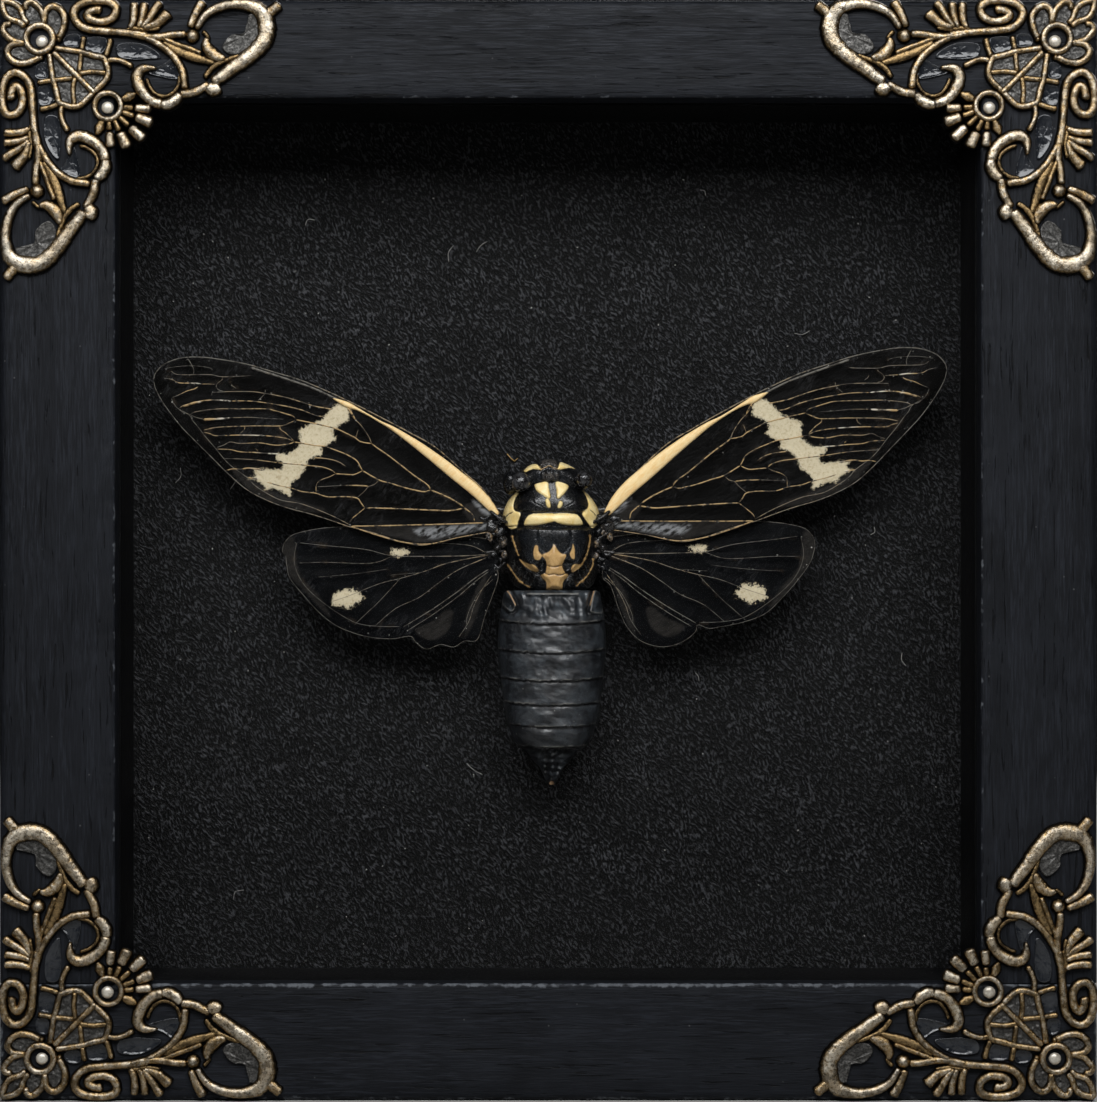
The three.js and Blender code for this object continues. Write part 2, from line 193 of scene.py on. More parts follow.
def depth_in_any(points: np.ndarray, outlines: list[Points]) -> np.ndarray:
    """The greatest depth_inside over several outlines, each rounded by smooth_line first."""
    return np.max([depth_inside(points, smooth_line(o, 0.15, closed=True)) for o in outlines], axis=0)


@dataclass
class Shape:
    """A closed surface in millimetres, with the numbers that its finish reads at each point."""

    points: np.ndarray
    quads: np.ndarray
    triangles: np.ndarray = field(default_factory=lambda: np.zeros((0, 3), dtype=int))
    marks: Marks = field(default_factory=dict)
    finish: int = 0

    def outward(self) -> "Shape":
        """Turns every face round if the volume that they enclose comes out below nought.

        Returns:
            This shape.
        """
        corners = [self.quads[:, [0, 1, 2]], self.quads[:, [0, 2, 3]], self.triangles]
        a, b, c = np.moveaxis(self.points[np.vstack(corners)], 1, 0)
        if np.einsum("ij,ij->i", a, np.cross(b, c)).sum() < 0:
            self.quads = self.quads[:, ::-1]
            self.triangles = self.triangles[:, ::-1]
        return self


def grid_quads(rows: int, columns: int) -> np.ndarray:
    """Quads over a grid of rows by columns whose last column joins its first.

    Args:
        rows: How many rings there are.
        columns: How many points a ring has.

    Returns:
        The quads' corners, four to a row.
    """
    here = np.arange(rows - 1)[:, None] * columns + np.arange(columns)[None, :]
    right = np.arange(rows - 1)[:, None] * columns + (np.arange(columns)[None, :] + 1) % columns
    return np.stack([here, right, right + columns, here + columns], axis=-1).reshape(-1, 4)


def tube(rings: np.ndarray, marks: Marks | None = None, finish: int = 0) -> Shape:
    """A closed tube through rings of points, with a fan of triangles over each end.

    Args:
        rings: Points as (rings, points in a ring, 3).
        marks: Numbers for each point, as (rings, points in a ring).
        finish: Which of the piece's materials it wears.

    Returns:
        The closed shape.
    """
    rows, columns = rings.shape[:2]
    ends = [rings[0].mean(axis=0), rings[-1].mean(axis=0)]
    step = np.arange(columns)
    after = (step + 1) % columns
    first, last = rows * columns, rows * columns + 1
    near = np.stack([after, step, np.full(columns, first)], axis=1)
    far = np.stack([step, after, np.full(columns, last)], axis=1)
    far[:, :2] += (rows - 1) * columns
    kept = {name: np.append(m.ravel(), [m[0].mean(), m[-1].mean()]) for name, m in (marks or {}).items()}
    points = np.vstack([rings.reshape(-1, 3), ends])
    return Shape(points, grid_quads(rows, columns), np.vstack([near, far]), kept, finish).outward()


def circle(count: int) -> np.ndarray:
    """Points evenly round a circle of radius 1, as rows of (cosine, sine)."""
    turn = np.linspace(0, 2 * np.pi, count + 1)[:-1]
    return np.stack([np.cos(turn), np.sin(turn)], axis=1)


ROUND = circle(8)
FLANGED = np.array([(1, 0), (1, 0.22), (0.87, 0.34), (0.82, 0.62), (0.66, 0.86), (0.34, 0.98), (0, 1.0),
                    (-0.34, 0.98), (-0.66, 0.86), (-0.82, 0.62), (-0.87, 0.34), (-1, 0.22), (-1, 0)])
DOMED = np.stack([np.cos(np.linspace(0, np.pi, 9)), np.sin(np.linspace(0, np.pi, 9)) ** 0.75], axis=1)


def swept(path: np.ndarray, half_width: np.ndarray, height: np.ndarray, section: np.ndarray, finish: int = 0,
          marks: Marks | None = None) -> Shape:
    """Carries a flat section along a path, its first axis sideways and its second towards the front.

    Args:
        path: The path's points, in three dimensions.
        half_width: Half the section's width at each point.
        height: The section's height at each point.
        section: The section's outline as rows of (sideways, frontwards), each about 1 long.
        finish: Which of the piece's materials it wears.
        marks: One number for each point of the path, by name.

    Returns:
        The closed shape.
    """
    along = np.gradient(path, axis=0)
    along /= np.linalg.norm(along, axis=1, keepdims=True) + 1e-9
    side = np.cross(along, [0.0, -1.0, 0.0])
    side /= np.linalg.norm(side, axis=1, keepdims=True) + 1e-9
    front = np.cross(side, along)
    rings = path[:, None] + side[:, None] * (half_width[:, None] * section[:, 0])[..., None]
    rings = rings + front[:, None] * (height[:, None] * section[:, 1])[..., None]
    spread = {name: np.repeat(m[:, None], len(section), axis=1) for name, m in (marks or {}).items()}
    return tube(rings, spread, finish)


def rounded_ends(path: np.ndarray, radius: float) -> np.ndarray:
    """A share that follows a quarter circle from nearly nought to 1 over the radius at each end of a path.

    Args:
        path: The path's points.
        radius: How far each end's rounding reaches.

    Returns:
        One share for each point.
    """
    length = np.concatenate([[0], np.cumsum(np.linalg.norm(np.diff(path, axis=0), axis=1))])
    near = np.minimum(length, length[-1] - length)
    return np.sqrt(np.clip(1 - (1 - np.clip(near / radius, 0, 1)) ** 2, 0.02, 1))


def make_piece(name: str, shapes: list[Shape], materials: list[Material],
               replaces: tuple[str, ...] = ()) -> None:
    """Joins shapes in one mesh object, with their marks as attributes, parents it to the root body and hides
    the CAD nodes that it replaces.

    Args:
        name: The piece's name.
        shapes: The closed shapes that it is made of.
        materials: The materials that the shapes' finish numbers count in.
        replaces: The CAD nodes that it stands for.
    """
    starts = np.cumsum([0] + [len(s.points) for s in shapes])
    points = np.vstack([s.points for s in shapes]) * MM
    faces = []
    finishes = []
    for shape, start in zip(shapes, starts):
        faces += (shape.quads + start).tolist() + (shape.triangles + start).tolist()
        finishes.append(np.full(len(shape.quads) + len(shape.triangles), shape.finish))
    mesh = bpy.data.meshes.new(name)
    mesh.from_pydata(points.tolist(), [], faces)
    mesh.polygons.foreach_set("use_smooth", np.ones(len(faces), dtype=bool))
    mesh.polygons.foreach_set("material_index", np.concatenate(finishes).astype(np.int32))
    for mark in sorted({key for s in shapes for key in s.marks}):
        values = [s.marks.get(mark, np.full(len(s.points), ABSENT)) for s in shapes]
        mesh.attributes.new(mark, "FLOAT", "POINT").data.foreach_set("value", np.concatenate(values))
    for material in materials:
        mesh.materials.append(material)
    mesh.update()
    piece = bpy.data.objects.new(name, mesh)
    bpy.context.scene.collection.objects.link(piece)
    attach(piece, BODY)
    if replaces:
        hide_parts(*replaces)
    LOG.info("%s: %d faces", name, len(faces))


# Materials


@dataclass(frozen=True)
class Signal:
    """What a socket gives out. Adding, subtracting or multiplying it makes a Math node."""

    tree: "Tree"
    socket: NodeSocket

    def __add__(self, other: "Signal | float") -> "Signal":
        """The sum."""
        return self.tree.maths("ADD", self, other)

    def __sub__(self, other: "Signal | float") -> "Signal":
        """The difference."""
        return self.tree.maths("SUBTRACT", self, other)

    def __mul__(self, other: "Signal | float") -> "Signal":
        """The product."""
        return self.tree.maths("MULTIPLY", self, other)


@dataclass(frozen=True)
class Tree:
    """A shader node tree, with a short call for each kind of node that the finishes use."""

    tree: NodeTree

    def feed(self, target: NodeSocket, value: object) -> None:
        """Links a signal or a socket to an input, or sets the input to a plain value.

        Args:
            target: The input.
            value: What goes in it.
        """
        source = value.socket if isinstance(value, Signal) else value
        if isinstance(source, NodeSocket):
            self.tree.links.new(source, target)
        else:
            target.default_value = source

    def add(self, kind: str, inputs: dict[int | str, object] | None = None, **settings: object) -> Node:
        """Adds a node.

        Args:
            kind: The node's type.
            inputs: What goes in each input, by its name or place: a socket to link, or a plain value.
            settings: The node's own properties.

        Returns:
            The new node.
        """
        made = self.tree.nodes.new(kind)
        for name, value in settings.items():
            setattr(made, name, value)
        for key, value in (inputs or {}).items():
            self.feed(made.inputs[key], value)
        return made

    def out(self, kind: str, inputs: dict[int | str, object], output: int | str = 0,
            **settings: object) -> Signal:
        """Adds a node and gives one of its outputs, the first if none is named."""
        return Signal(self, self.add(kind, inputs, **settings).outputs[output])

    def place(self, stretch: Triple = (1, 1, 1), turn: float = 0) -> Signal:
        """Object coordinates in millimetres, turned about Y and then stretched.

        Args:
            stretch: The pattern's scale along each axis.
            turn: The turn about Y, in radians.

        Returns:
            The coordinates.
        """
        here = self.out("ShaderNodeTexCoord", {}, "Object")
        turned = self.out("ShaderNodeMapping",
                          {"Vector": here, "Rotation": (0, turn, 0), "Scale": (1 / MM,) * 3})
        return self.out("ShaderNodeMapping", {"Vector": turned, "Scale": stretch})

    def noise(self, size: float, detail: float = 3, where: Signal | None = None, rough: float = 0.5,
              twist: float = 0) -> Signal:
        """Noise about 0.5 with lumps of this size in millimetres.

        Args:
            size: The lumps' size.
            detail: How many octaves it has.
            where: The coordinates, or None for the plain ones.
            rough: How strong the finer octaves are.
            twist: How much it is distorted.

        Returns:
            The noise.
        """
        inputs = {"Vector": where or self.place(), "Scale": 1 / size, "Detail": detail, "Roughness": rough,
                  "Distortion": twist}
        return self.out("ShaderNodeTexNoise", inputs, "Fac")

    def mark(self, name: str) -> Signal:
        """A number kept at each point of the mesh."""
        return self.out("ShaderNodeAttribute", {}, "Fac", attribute_name=name)

    def maths(self, operation: str, *values: object) -> Signal:
        """A Math node over the values."""
        return self.out("ShaderNodeMath", dict(enumerate(values)), operation=operation)

    def most(self, *values: Signal) -> Signal:
        """The greater of two values."""
        return self.maths("MAXIMUM", *values)

    def span(self, value: object, low: object, high: object, to_low: float = 0, to_high: float = 1) -> Signal:
        """A smooth step of a value, from to_low at low to to_high at high."""
        inputs = {"Value": value, "From Min": low, "From Max": high, "To Min": to_low, "To Max": to_high}
        return self.out("ShaderNodeMapRange", inputs, "Result", interpolation_type="SMOOTHSTEP")

    def mix(self, share: Signal, first: Signal | Triple, second: Signal | Triple) -> Signal:
        """A colour, first where the share is nought and second where it is 1."""
        colours = [c if isinstance(c, Signal) else (*c, 1) for c in (first, second)]
        return self.out("ShaderNodeMix", {0: share, 6: colours[0], 7: colours[1]}, 2, data_type="RGBA")

    def bump(self, height: Signal, depth: float) -> Signal:
        """A normal from a height of nought to 1 that stands for this depth in millimetres."""
        return self.out("ShaderNodeBump", {"Height": height, "Distance": depth * MM, "Strength": 1})

    def dust(self, size: float, amount: float) -> Signal:
        """The shared dust group with its own values."""
        return self.out("ShaderNodeGroup", {"Size": size, "Amount": amount},
                        node_tree=bpy.data.node_groups[DUST])

    def blotch(self, size: float, low: float, high: float) -> Signal:
        """The shared group of blotches with its own values."""
        inputs = {"Size": size, "Low": low, "High": high}
        return self.out("ShaderNodeGroup", inputs, node_tree=bpy.data.node_groups[BLOTCH])


def new_group(name: str, inputs: dict[str, float], outputs: list[str]) -> Tree:
    """Starts a shader node group whose sockets are all plain numbers.

    Args:
        name: The group's name.
        inputs: The inputs with their usual values.
        outputs: The names of the outputs.

    Returns:
        The tree to build it with.
    """
    group = bpy.data.node_groups.new(name, "ShaderNodeTree")
    for key, value in inputs.items():
        group.interface.new_socket(key, in_out="INPUT", socket_type="NodeSocketFloat").default_value = value
    for key in outputs:
        group.interface.new_socket(key, in_out="OUTPUT", socket_type="NodeSocketFloat")
    return Tree(group)


def dust_group() -> None:
    """Builds the shared pale specks: the middles of cells whose own random number is low enough."""
    tree = new_group(DUST, {"Size": 0.9, "Amount": 0.1}, ["Mask"])
    given = tree.add("NodeGroupInput").outputs
    per_size = tree.maths("DIVIDE", 1.0, given["Size"])
    cells = tree.add("ShaderNodeTexVoronoi", {"Vector": tree.place(), "Scale": per_size})
    near = tree.span(cells.outputs["Distance"], 0.13, 0.05)
    chance = tree.out("ShaderNodeSeparateColor", {0: cells.outputs["Color"]})
    kept = tree.maths("LESS_THAN", chance, given["Amount"])
    drift = tree.span(tree.noise(14), 0.42, 0.66, 0.25)
    tree.add("NodeGroupOutput", {"Mask": near * kept * drift})


def blotch_group() -> None:
    """Builds the shared soft patches: a noise, cut off smoothly between a low and a high value."""
    tree = new_group(BLOTCH, {"Size": 3.0, "Low": 0.4, "High": 0.65}, ["Mask"])
    given = tree.add("NodeGroupInput").outputs
    per_size = tree.maths("DIVIDE", 1.0, given["Size"])
    inputs = {"Vector": tree.place(), "Scale": per_size, "Detail": 5, "Roughness": 0.6, "Distortion": 0.6}
    patches = tree.out("ShaderNodeTexNoise", inputs, "Fac")
    tree.add("NodeGroupOutput", {"Mask": tree.span(patches, given["Low"], given["High"])})


def new_material(name: str) -> tuple[Material, Tree, Node]:
    """A material with one Principled BSDF.

    Args:
        name: The material's name.

    Returns:
        The material, its tree and the Principled node.
    """
    material = bpy.data.materials.new(name)
    material.use_nodes = True
    tree = Tree(material.node_tree)
    return material, tree, material.node_tree.nodes["Principled BSDF"]


def wear(tree: Tree, shader: Node, **sockets: object) -> None:
    """Feeds the Principled node, each name with _ for its spaces."""
    for name, value in sockets.items():
        tree.feed(shader.inputs[name.replace("_", " ")], (*value, 1) if isinstance(value, tuple) else value)


class Grain(Enum):
    """Which way a rail's wood grain runs, as the stretch of its pattern."""

    LEVEL = (0.06, 1, 1)
    UPRIGHT = (1, 1, 0.06)


@dataclass(frozen=True)
class PaintedWood:
    """Worn matt black paint over fine wood, paled along the edges by wear, with painted highlight on the
    bottom rail's edges.
    """

    grain: Grain
    paint: Triple = (0.0040, 0.0046, 0.0062)
    faded: Triple = (0.0135, 0.0153, 0.0200)
    crack: Triple = (0.0012, 0.0013, 0.0016)
    rubbed_and_highlight: Triple = (0.13, 0.14, 0.155)

    def material(self) -> Material:
        """Builds the material: streaks and fine cracks along the grain, pale edges that are wear and painted
        highlight, and a little dust.

        Returns:
            The material.
        """
        made, tree, shader = new_material(f"painted wood {self.grain.name.lower()}")
        along = tree.place(self.grain.value)
        fine = tree.noise(0.24, 4, along, 0.65, 0.5)
        broad = tree.noise(1.6, 3, along, 0.5, 0.4)
        streak = tree.span(fine, 0.42, 0.66) * tree.span(broad, 0.36, 0.6, 0.3)
        cloud = tree.blotch(12.0, 0.35, 0.7)
        colour = tree.mix(streak, self.paint, self.faded)
        colour = tree.mix(cloud * 0.35, colour, self.faded)
        split = tree.noise(0.5, 3, along, 0.55, 0.8)
        crack = tree.span(split, 0.40, 0.34) * tree.span(broad, 0.62, 0.45)
        colour = tree.mix(crack * 0.85, colour, self.crack)
        ragged = tree.mark("edge") + tree.noise(1.1, 4) * -1.5
        edge = tree.span(ragged, -0.25, -0.62)
        # Pale edges: real wear, and on the bottom rail also painted highlight.
        colour = tree.mix(edge * 0.7, colour, self.rubbed_and_highlight)
        dust = tree.dust(1.3, 0.06)
        colour = tree.mix(dust * 0.25, colour, (0.2, 0.2, 0.2))
        height = fine + broad * 0.6 - crack
        wear(tree, shader, Base_Color=colour, Roughness=tree.span(fine, 0.3, 0.7, 0.62, 0.46),
             Normal=tree.bump(height, 0.06), Specular_IOR_Level=0.12)
        return made


@dataclass(frozen=True)
class GrainedBoard:
    """Black board with a fine wormy leather grain that slants down to the right, dusted with pale specks; its
    grain is painted with lighter ridges as highlight and near black valleys as shade.
    """

    valley_shade: Triple = (0.0012, 0.0012, 0.0013)
    ridge_highlight: Triple = (0.041, 0.042, 0.046)

    def material(self) -> Material:
        """Builds the material: two stretched noises at a slant, whose higher halves are the ridges, painted
        lighter as highlight over valleys painted dark as shade.

        Returns:
            The material.
        """
        made, tree, shader = new_material("grained board")
        slanted = tree.place((0.5, 1, 1.15), turn=-0.75)
        steep = tree.place((0.55, 1, 1.15), turn=-1.25)
        long_worm = tree.noise(0.37, 1.5, slanted, 0.45, 0.5)
        short_worm = tree.noise(0.33, 1.0, steep, 0.45, 0.3)
        which = tree.span(tree.noise(2.6, 1), 0.44, 0.56)
        worm = tree.out("ShaderNodeMix", {0: which, 2: long_worm, 3: short_worm}, data_type="FLOAT")
        ridges = tree.span(worm, 0.50, 0.66)
        patch = tree.blotch(5.0, 0.3, 0.75)
        # Grain colour: valleys painted near black as shade, ridges painted lighter as highlight.
        colour = tree.mix(ridges * tree.span(patch, 0, 1, 0.55, 1.0), self.valley_shade, self.ridge_highlight)
        dust = tree.dust(1.6, 0.10)
        fluff = tree.dust(0.9, 0.08)
        specks = tree.most(dust, fluff * 0.5)
        colour = tree.mix(specks * 0.5, colour, (0.20, 0.20, 0.19))
        wear(tree, shader, Base_Color=colour, Roughness=tree.span(ridges, 0, 1, 0.7, 0.42),
             Normal=tree.bump(worm, 0.35), Specular_IOR_Level=0.16)
        return made


@dataclass(frozen=True)
class PlainBoard:
    """Flat board with a faint fibre, for the spacers and the back."""

    name: str
    colour: Triple
    fibre: Triple

    def material(self) -> Material:
        """Builds the material.

        Returns:
            The material.
        """
        made, tree, shader = new_material(self.name)
        fibres = tree.noise(0.5, 5, tree.place((1, 1, 0.3)), 0.7)
        patch = tree.blotch(6.0, 0.35, 0.7)
        colour = tree.mix(patch * tree.span(fibres, 0.35, 0.7), self.colour, self.fibre)
        wear(tree, shader, Base_Color=colour, Roughness=tree.span(fibres, 0.3, 0.7, 0.8, 0.62),
             Normal=tree.bump(fibres, 0.05), Specular_IOR_Level=0.1)
        return made


@dataclass(frozen=True)
class Bronze:
    """Stamped brass with a dark patina in its hollows and rubbed bright tops."""

    front: float
    tall: float
    bright: Triple = (0.60, 0.54, 0.44)
    gold: Triple = (0.29, 0.195, 0.090)
    patina: Triple = (0.010, 0.008, 0.007)

    def material(self) -> Material:
        """Builds the material: how high a point stands picks patina, brown or bright metal.

        Returns:
            The material.
        """
        made, tree, shader = new_material("antique bronze")
        depth = tree.out("ShaderNodeSeparateXYZ", {0: tree.place()}, "Y")
        lift = tree.maths("DIVIDE", tree.maths("SUBTRACT", self.front, depth), self.tall)
        grime = tree.noise(0.45, 5, rough=0.7)
        broad = tree.blotch(3.2, 0.3, 0.72)
        rise = lift + (grime - 0.5) * 0.9
        colour = tree.mix(tree.span(rise, 0.34, 0.74), self.patina, self.gold)
        rub = tree.span(rise, 0.74, 1.0) * tree.span(broad, 0, 1, 0.45, 1.0)
        colour = tree.mix(rub, colour, self.bright)
        pits = tree.span(tree.noise(0.26, 4, rough=0.75), 0.47, 0.38) * 0.7
        colour = tree.mix(pits, colour, self.patina)
        worn = tree.span(tree.noise(1.4, 5, rough=0.7), 0.52, 0.42) * 0.55
        colour = tree.mix(worn, colour, self.patina)
        rough = tree.span(grime, 0.3, 0.7, 0.26, 0.46)
        metal = tree.span(rise, 0.1, 0.4, 0.4, 1.0)
        wear(tree, shader, Base_Color=colour, Roughness=rough, Metallic=metal, Normal=tree.bump(grime, 0.10))
        return made


@dataclass(frozen=True)
class Pewter:
    """The dull grey ground of the stamped plates, pitted and tarnished."""

    light: Triple = (0.125, 0.12, 0.113)
    dark: Triple = (0.030, 0.029, 0.027)

    def material(self) -> Material:
        """Builds the material.

        Returns:
            The material.
        """
        made, tree, shader = new_material("tarnished ground")
        pits = tree.noise(0.28, 5, rough=0.7)
        patch = tree.blotch(1.6, 0.35, 0.65)
        shade = tree.span(pits, 0.4, 0.62) * tree.span(patch, 0, 1, 0.4, 1.0)
        colour = tree.mix(shade, self.dark, self.light)
        wear(tree, shader, Base_Color=colour, Roughness=tree.span(pits, 0.3, 0.7, 0.6, 0.35),
             Metallic=0.8, Normal=tree.bump(pits, 0.05))
        return made


@dataclass(frozen=True)
class Steel:
    """Dull zinc-plated steel with fine scratches."""

    name: str = "dull steel"
    metal: float = 1.0
    colour: Triple = (0.36, 0.35, 0.33)
    stain: Triple = (0.09, 0.075, 0.06)

    def material(self) -> Material:
        """Builds the material.

        Returns:
            The material.
        """
        made, tree, shader = new_material(self.name)
        scratch = tree.noise(0.2, 4, tree.place((0.2, 1, 1)), 0.6)
        patch = tree.blotch(1.1, 0.4, 0.75)
        wear(tree, shader, Base_Color=tree.mix(patch, self.colour, self.stain), Metallic=self.metal,
             Roughness=tree.span(scratch, 0.3, 0.7, 0.28, 0.5), Normal=tree.bump(scratch, 0.02))
        return made


@dataclass(frozen=True)
class ClearGlass:
    """Clean picture glass, thin enough to leave what is behind it as it is."""

    share: float = 0.04

    def material(self) -> Material:
        """Builds the material.

        Returns:
            The material.
        """
        made, tree, shader = new_material("picture glass")
        wear(tree, shader, Base_Color=(0.0, 0.0, 0.0), Roughness=0.03, Alpha=self.share, IOR=1.5)
        return made


@dataclass(frozen=True)
class InsectShell:
    """Glossy black shell with pale yellow and tan marks, and a faint blue bloom that is partly painted sheen.
    """

    black: Triple = (0.0030, 0.0032, 0.0038)
    bloom: Triple = (0.0065, 0.0085, 0.0115)
    yellow: Triple = (0.92, 0.67, 0.25)
    cream: Triple = (0.98, 0.81, 0.43)
    tan: Triple = (0.50, 0.30, 0.115)
    drab: Triple = (0.10, 0.088, 0.076)

    def material(self) -> Material:
        """Builds the material: each mark is a depth inside an outline, with a slightly ragged rim.

        Returns:
            The material.
        """
        made, tree, shader = new_material("insect shell")
        wobble = (tree.noise(0.5, 4, rough=0.6) - 0.5) * 0.22
        fine = tree.noise(0.25, 4, rough=0.6)
        soft = tree.blotch(1.6, 0.35, 0.7)

        def inside(name: str, rim: float = 0.09) -> Signal:
            """1 inside a mark's ragged outline."""
            return tree.span(tree.mark(name) + wobble, -rim, rim)

        # The blue bloom colour is partly painted sheen, strongest in the shield's middle.
        colour = tree.mix(soft * inside("bloom", 0.9), self.black, self.bloom)
        colour = tree.mix(inside("drab", 0.3) * tree.span(fine, 0.35, 0.65), colour, self.drab)
        colour = tree.mix(inside("tan"), colour, tree.mix(soft, self.tan, (0.64, 0.41, 0.17)))
        colour = tree.mix(inside("yellow"), colour, tree.mix(soft, self.yellow, self.cream))
        colour = tree.mix(inside("groove", 0.05), colour, (0.004, 0.004, 0.004))
        dust = tree.dust(0.7, 0.06)
        colour = tree.mix(dust * 0.35, colour, (0.3, 0.29, 0.27))
        height = fine + soft * 0.7
        wear(tree, shader, Base_Color=colour, Roughness=tree.span(fine, 0.3, 0.7, 0.20, 0.36),
             Normal=tree.bump(height, 0.035), Specular_IOR_Level=0.5)
        return made


@dataclass(frozen=True)
class AbdomenShell:
    """Dark slate shell with a pale dusty bloom that is partly painted sheen, black seams, and rear edges
    painted pale as highlight.
    """

    slate: Triple = (0.0035, 0.0043, 0.0058)
    bloom: Triple = (0.085, 0.101, 0.116)
    chalk_and_highlight: Triple = (0.34, 0.33, 0.30)

    def material(self) -> Material:
        """Builds the material: bloom with some painted sheen in soft clouds, pale spots, and painted highlight
        on the seams' rear edges, the top rim and the flaps' edges.

        Returns:
            The material.
        """
        made, tree, shader = new_material("abdomen shell")
        cloud = tree.blotch(3.0, 0.38, 0.66)
        mottle = tree.noise(0.5, 5, rough=0.7)
        across = tree.noise(0.6, 4, tree.place((0.25, 1, 1)), 0.6)
        share = tree.span(cloud, 0, 1, 0.10, 0.85) * tree.span(mottle, 0.3, 0.72, 0.35, 1.0)
        streak = tree.span(tree.mark("middle"), 0.75, 0.1) * tree.span(across, 0.35, 0.6)
        share = share * tree.maths("SUBTRACT", 1.0, streak * 0.8)
        colour = tree.mix(share, self.slate, self.bloom)
        spots = tree.blotch(1.7, 0.64, 0.78)
        colour = tree.mix(spots * tree.span(mottle, 0.45, 0.7), colour, self.chalk_and_highlight)
        seam = tree.mark("seam")
        # The pale lines along each segment's rear edge, the top rim and the flaps' edges are painted
        # highlight.
        rim = tree.span(seam, 0.34, 0.06) * tree.span(across, 0.42, 0.62)
        rim = rim * tree.span(seam, -0.04, 0.04)
        rim = tree.most(rim, tree.span(tree.mark("edge"), -0.06, 0.1) * across)
        colour = tree.mix(rim * 0.8, colour, self.chalk_and_highlight)
        dark = tree.span(seam, 0.06, -0.02) * tree.span(seam, -0.55, -0.2)
        colour = tree.mix(dark * 0.92, colour, (0.003, 0.003, 0.004))
        # The tail's pits and the gaps beside the flaps are painted near black: painted shade.
        colour = tree.mix(tree.span(tree.mark("pit"), -0.12, 0.12), colour, (0.003, 0.003, 0.004))
        colour = tree.mix(tree.span(tree.mark("tan"), -0.06, 0.06), colour, (0.42, 0.27, 0.15))
        flecks = tree.dust(0.6, 0.4)
        flecks = flecks * tree.span(tree.maths("ABSOLUTE", seam), 0.5, 0.15)
        dust = tree.most(tree.dust(0.9, 0.2), flecks)
        colour = tree.mix(dust * 0.7, colour, (0.5, 0.48, 0.44))
        gloss = tree.blotch(2.1, 0.42, 0.62)
        height = mottle + across * 0.5
        wear(tree, shader, Base_Color=colour, Roughness=tree.span(mottle, 0.3, 0.7, 0.34, 0.55),
             Coat_Weight=gloss * 0.8, Coat_Roughness=0.22, Normal=tree.bump(height, 0.10),
             Specular_IOR_Level=0.45)
        return made


class WingTone(Enum):
    """The membrane's own colour: brown-black on a forewing, blue-black on a hindwing."""

    SMOKE = ((0.0013, 0.0012, 0.0011), (0.0052, 0.0047, 0.0043))
    INK = ((0.0012, 0.0014, 0.0018), (0.0055, 0.0062, 0.0076))


@dataclass(frozen=True)
class Membrane:
    """A dark smoky wing with a ragged cream band or spot and clear windows."""

    tone: WingTone
    cream: Triple = (0.64, 0.56, 0.39)
    stain: Triple = (0.40, 0.31, 0.18)
    window: Triple = (0.022, 0.020, 0.018)
    brown: Triple = (0.060, 0.043, 0.028)
    silver: Triple = (0.24, 0.245, 0.25)
    crease: Triple = (0.030, 0.030, 0.031)

    def material(self) -> Material:
        """Builds the material: the band's rim is broken up by noise, and the veins' sides are browner in
        patches.

        Returns:
            The material.
        """
        made, tree, shader = new_material(f"wing {self.tone.name.lower()}")
        dark, light = self.tone.value
        blue = self.tone is WingTone.INK
        smoke = tree.blotch(5.0, 0.35, 0.75)
        fibre = tree.noise(0.5, 4, tree.place((0.35, 1, 1), turn=0.5), 0.6)
        share = smoke * tree.span(fibre, 0.35, 0.7)
        colour = tree.mix(share, dark, light)
        crease = tree.noise(1.1, 3, tree.place((0.16, 1, 1), turn=1.0), 0.7)
        crease = tree.span(tree.maths("ABSOLUTE", crease - 0.5), 0.025, 0.0) * tree.span(smoke, 0.3, 0.8)
        colour = tree.mix(crease * 0.7, colour, self.crease)
        colour = tree.mix(tree.span(tree.mark("clear"), -0.25, 0.25) * tree.span(fibre, 0.3, 0.7, 0.45, 1.0),
                          colour, self.window)
        veiny = tree.span(tree.mark("vein"), 0.55, 0.1)
        brown = tree.blotch(2.4, 0.56, 0.74)
        colour = tree.mix(brown * veiny * 0.6, colour, self.brown)
        # The silvery patch at the forewing's base is grey, glossy, and streaked with painted sheen along the
        # fibre.
        silver = tree.span(tree.mark("silver"), -0.3, 0.5) * tree.span(fibre, 0.36, 0.62)
        colour = tree.mix(silver, colour, self.silver)
        ragged = tree.noise(0.42, 5, rough=0.75) - 0.5
        torn = tree.mark("pale") + ragged * (3.2 if blue else 2.0)
        shade = tree.mix(tree.span(ragged, -0.05, 0.25), self.cream, self.stain)
        colour = tree.mix(tree.span(torn, -0.15, 0.2), colour, shade)
        fine = tree.dust(0.75, 0.9)
        dots = tree.most(fine, tree.dust(1.15, 0.9))
        rim = tree.span(tree.mark("rim"), 1.5 if blue else 0.75, 0.2)
        close = tree.most(tree.span(tree.mark("vein"), 0.34, 0.14), rim)
        dust = tree.dust(1.0, 0.06)
        specks = tree.most(dots * close, dust * 0.6)
        colour = tree.mix(specks * 0.9, colour, (0.55, 0.53, 0.49))
        wear(tree, shader, Base_Color=colour, Roughness=tree.span(fibre, 0.3, 0.7, 0.34, 0.48),
             Coat_Weight=silver, Normal=tree.bump(fibre, 0.06), Specular_IOR_Level=0.05)
        return made


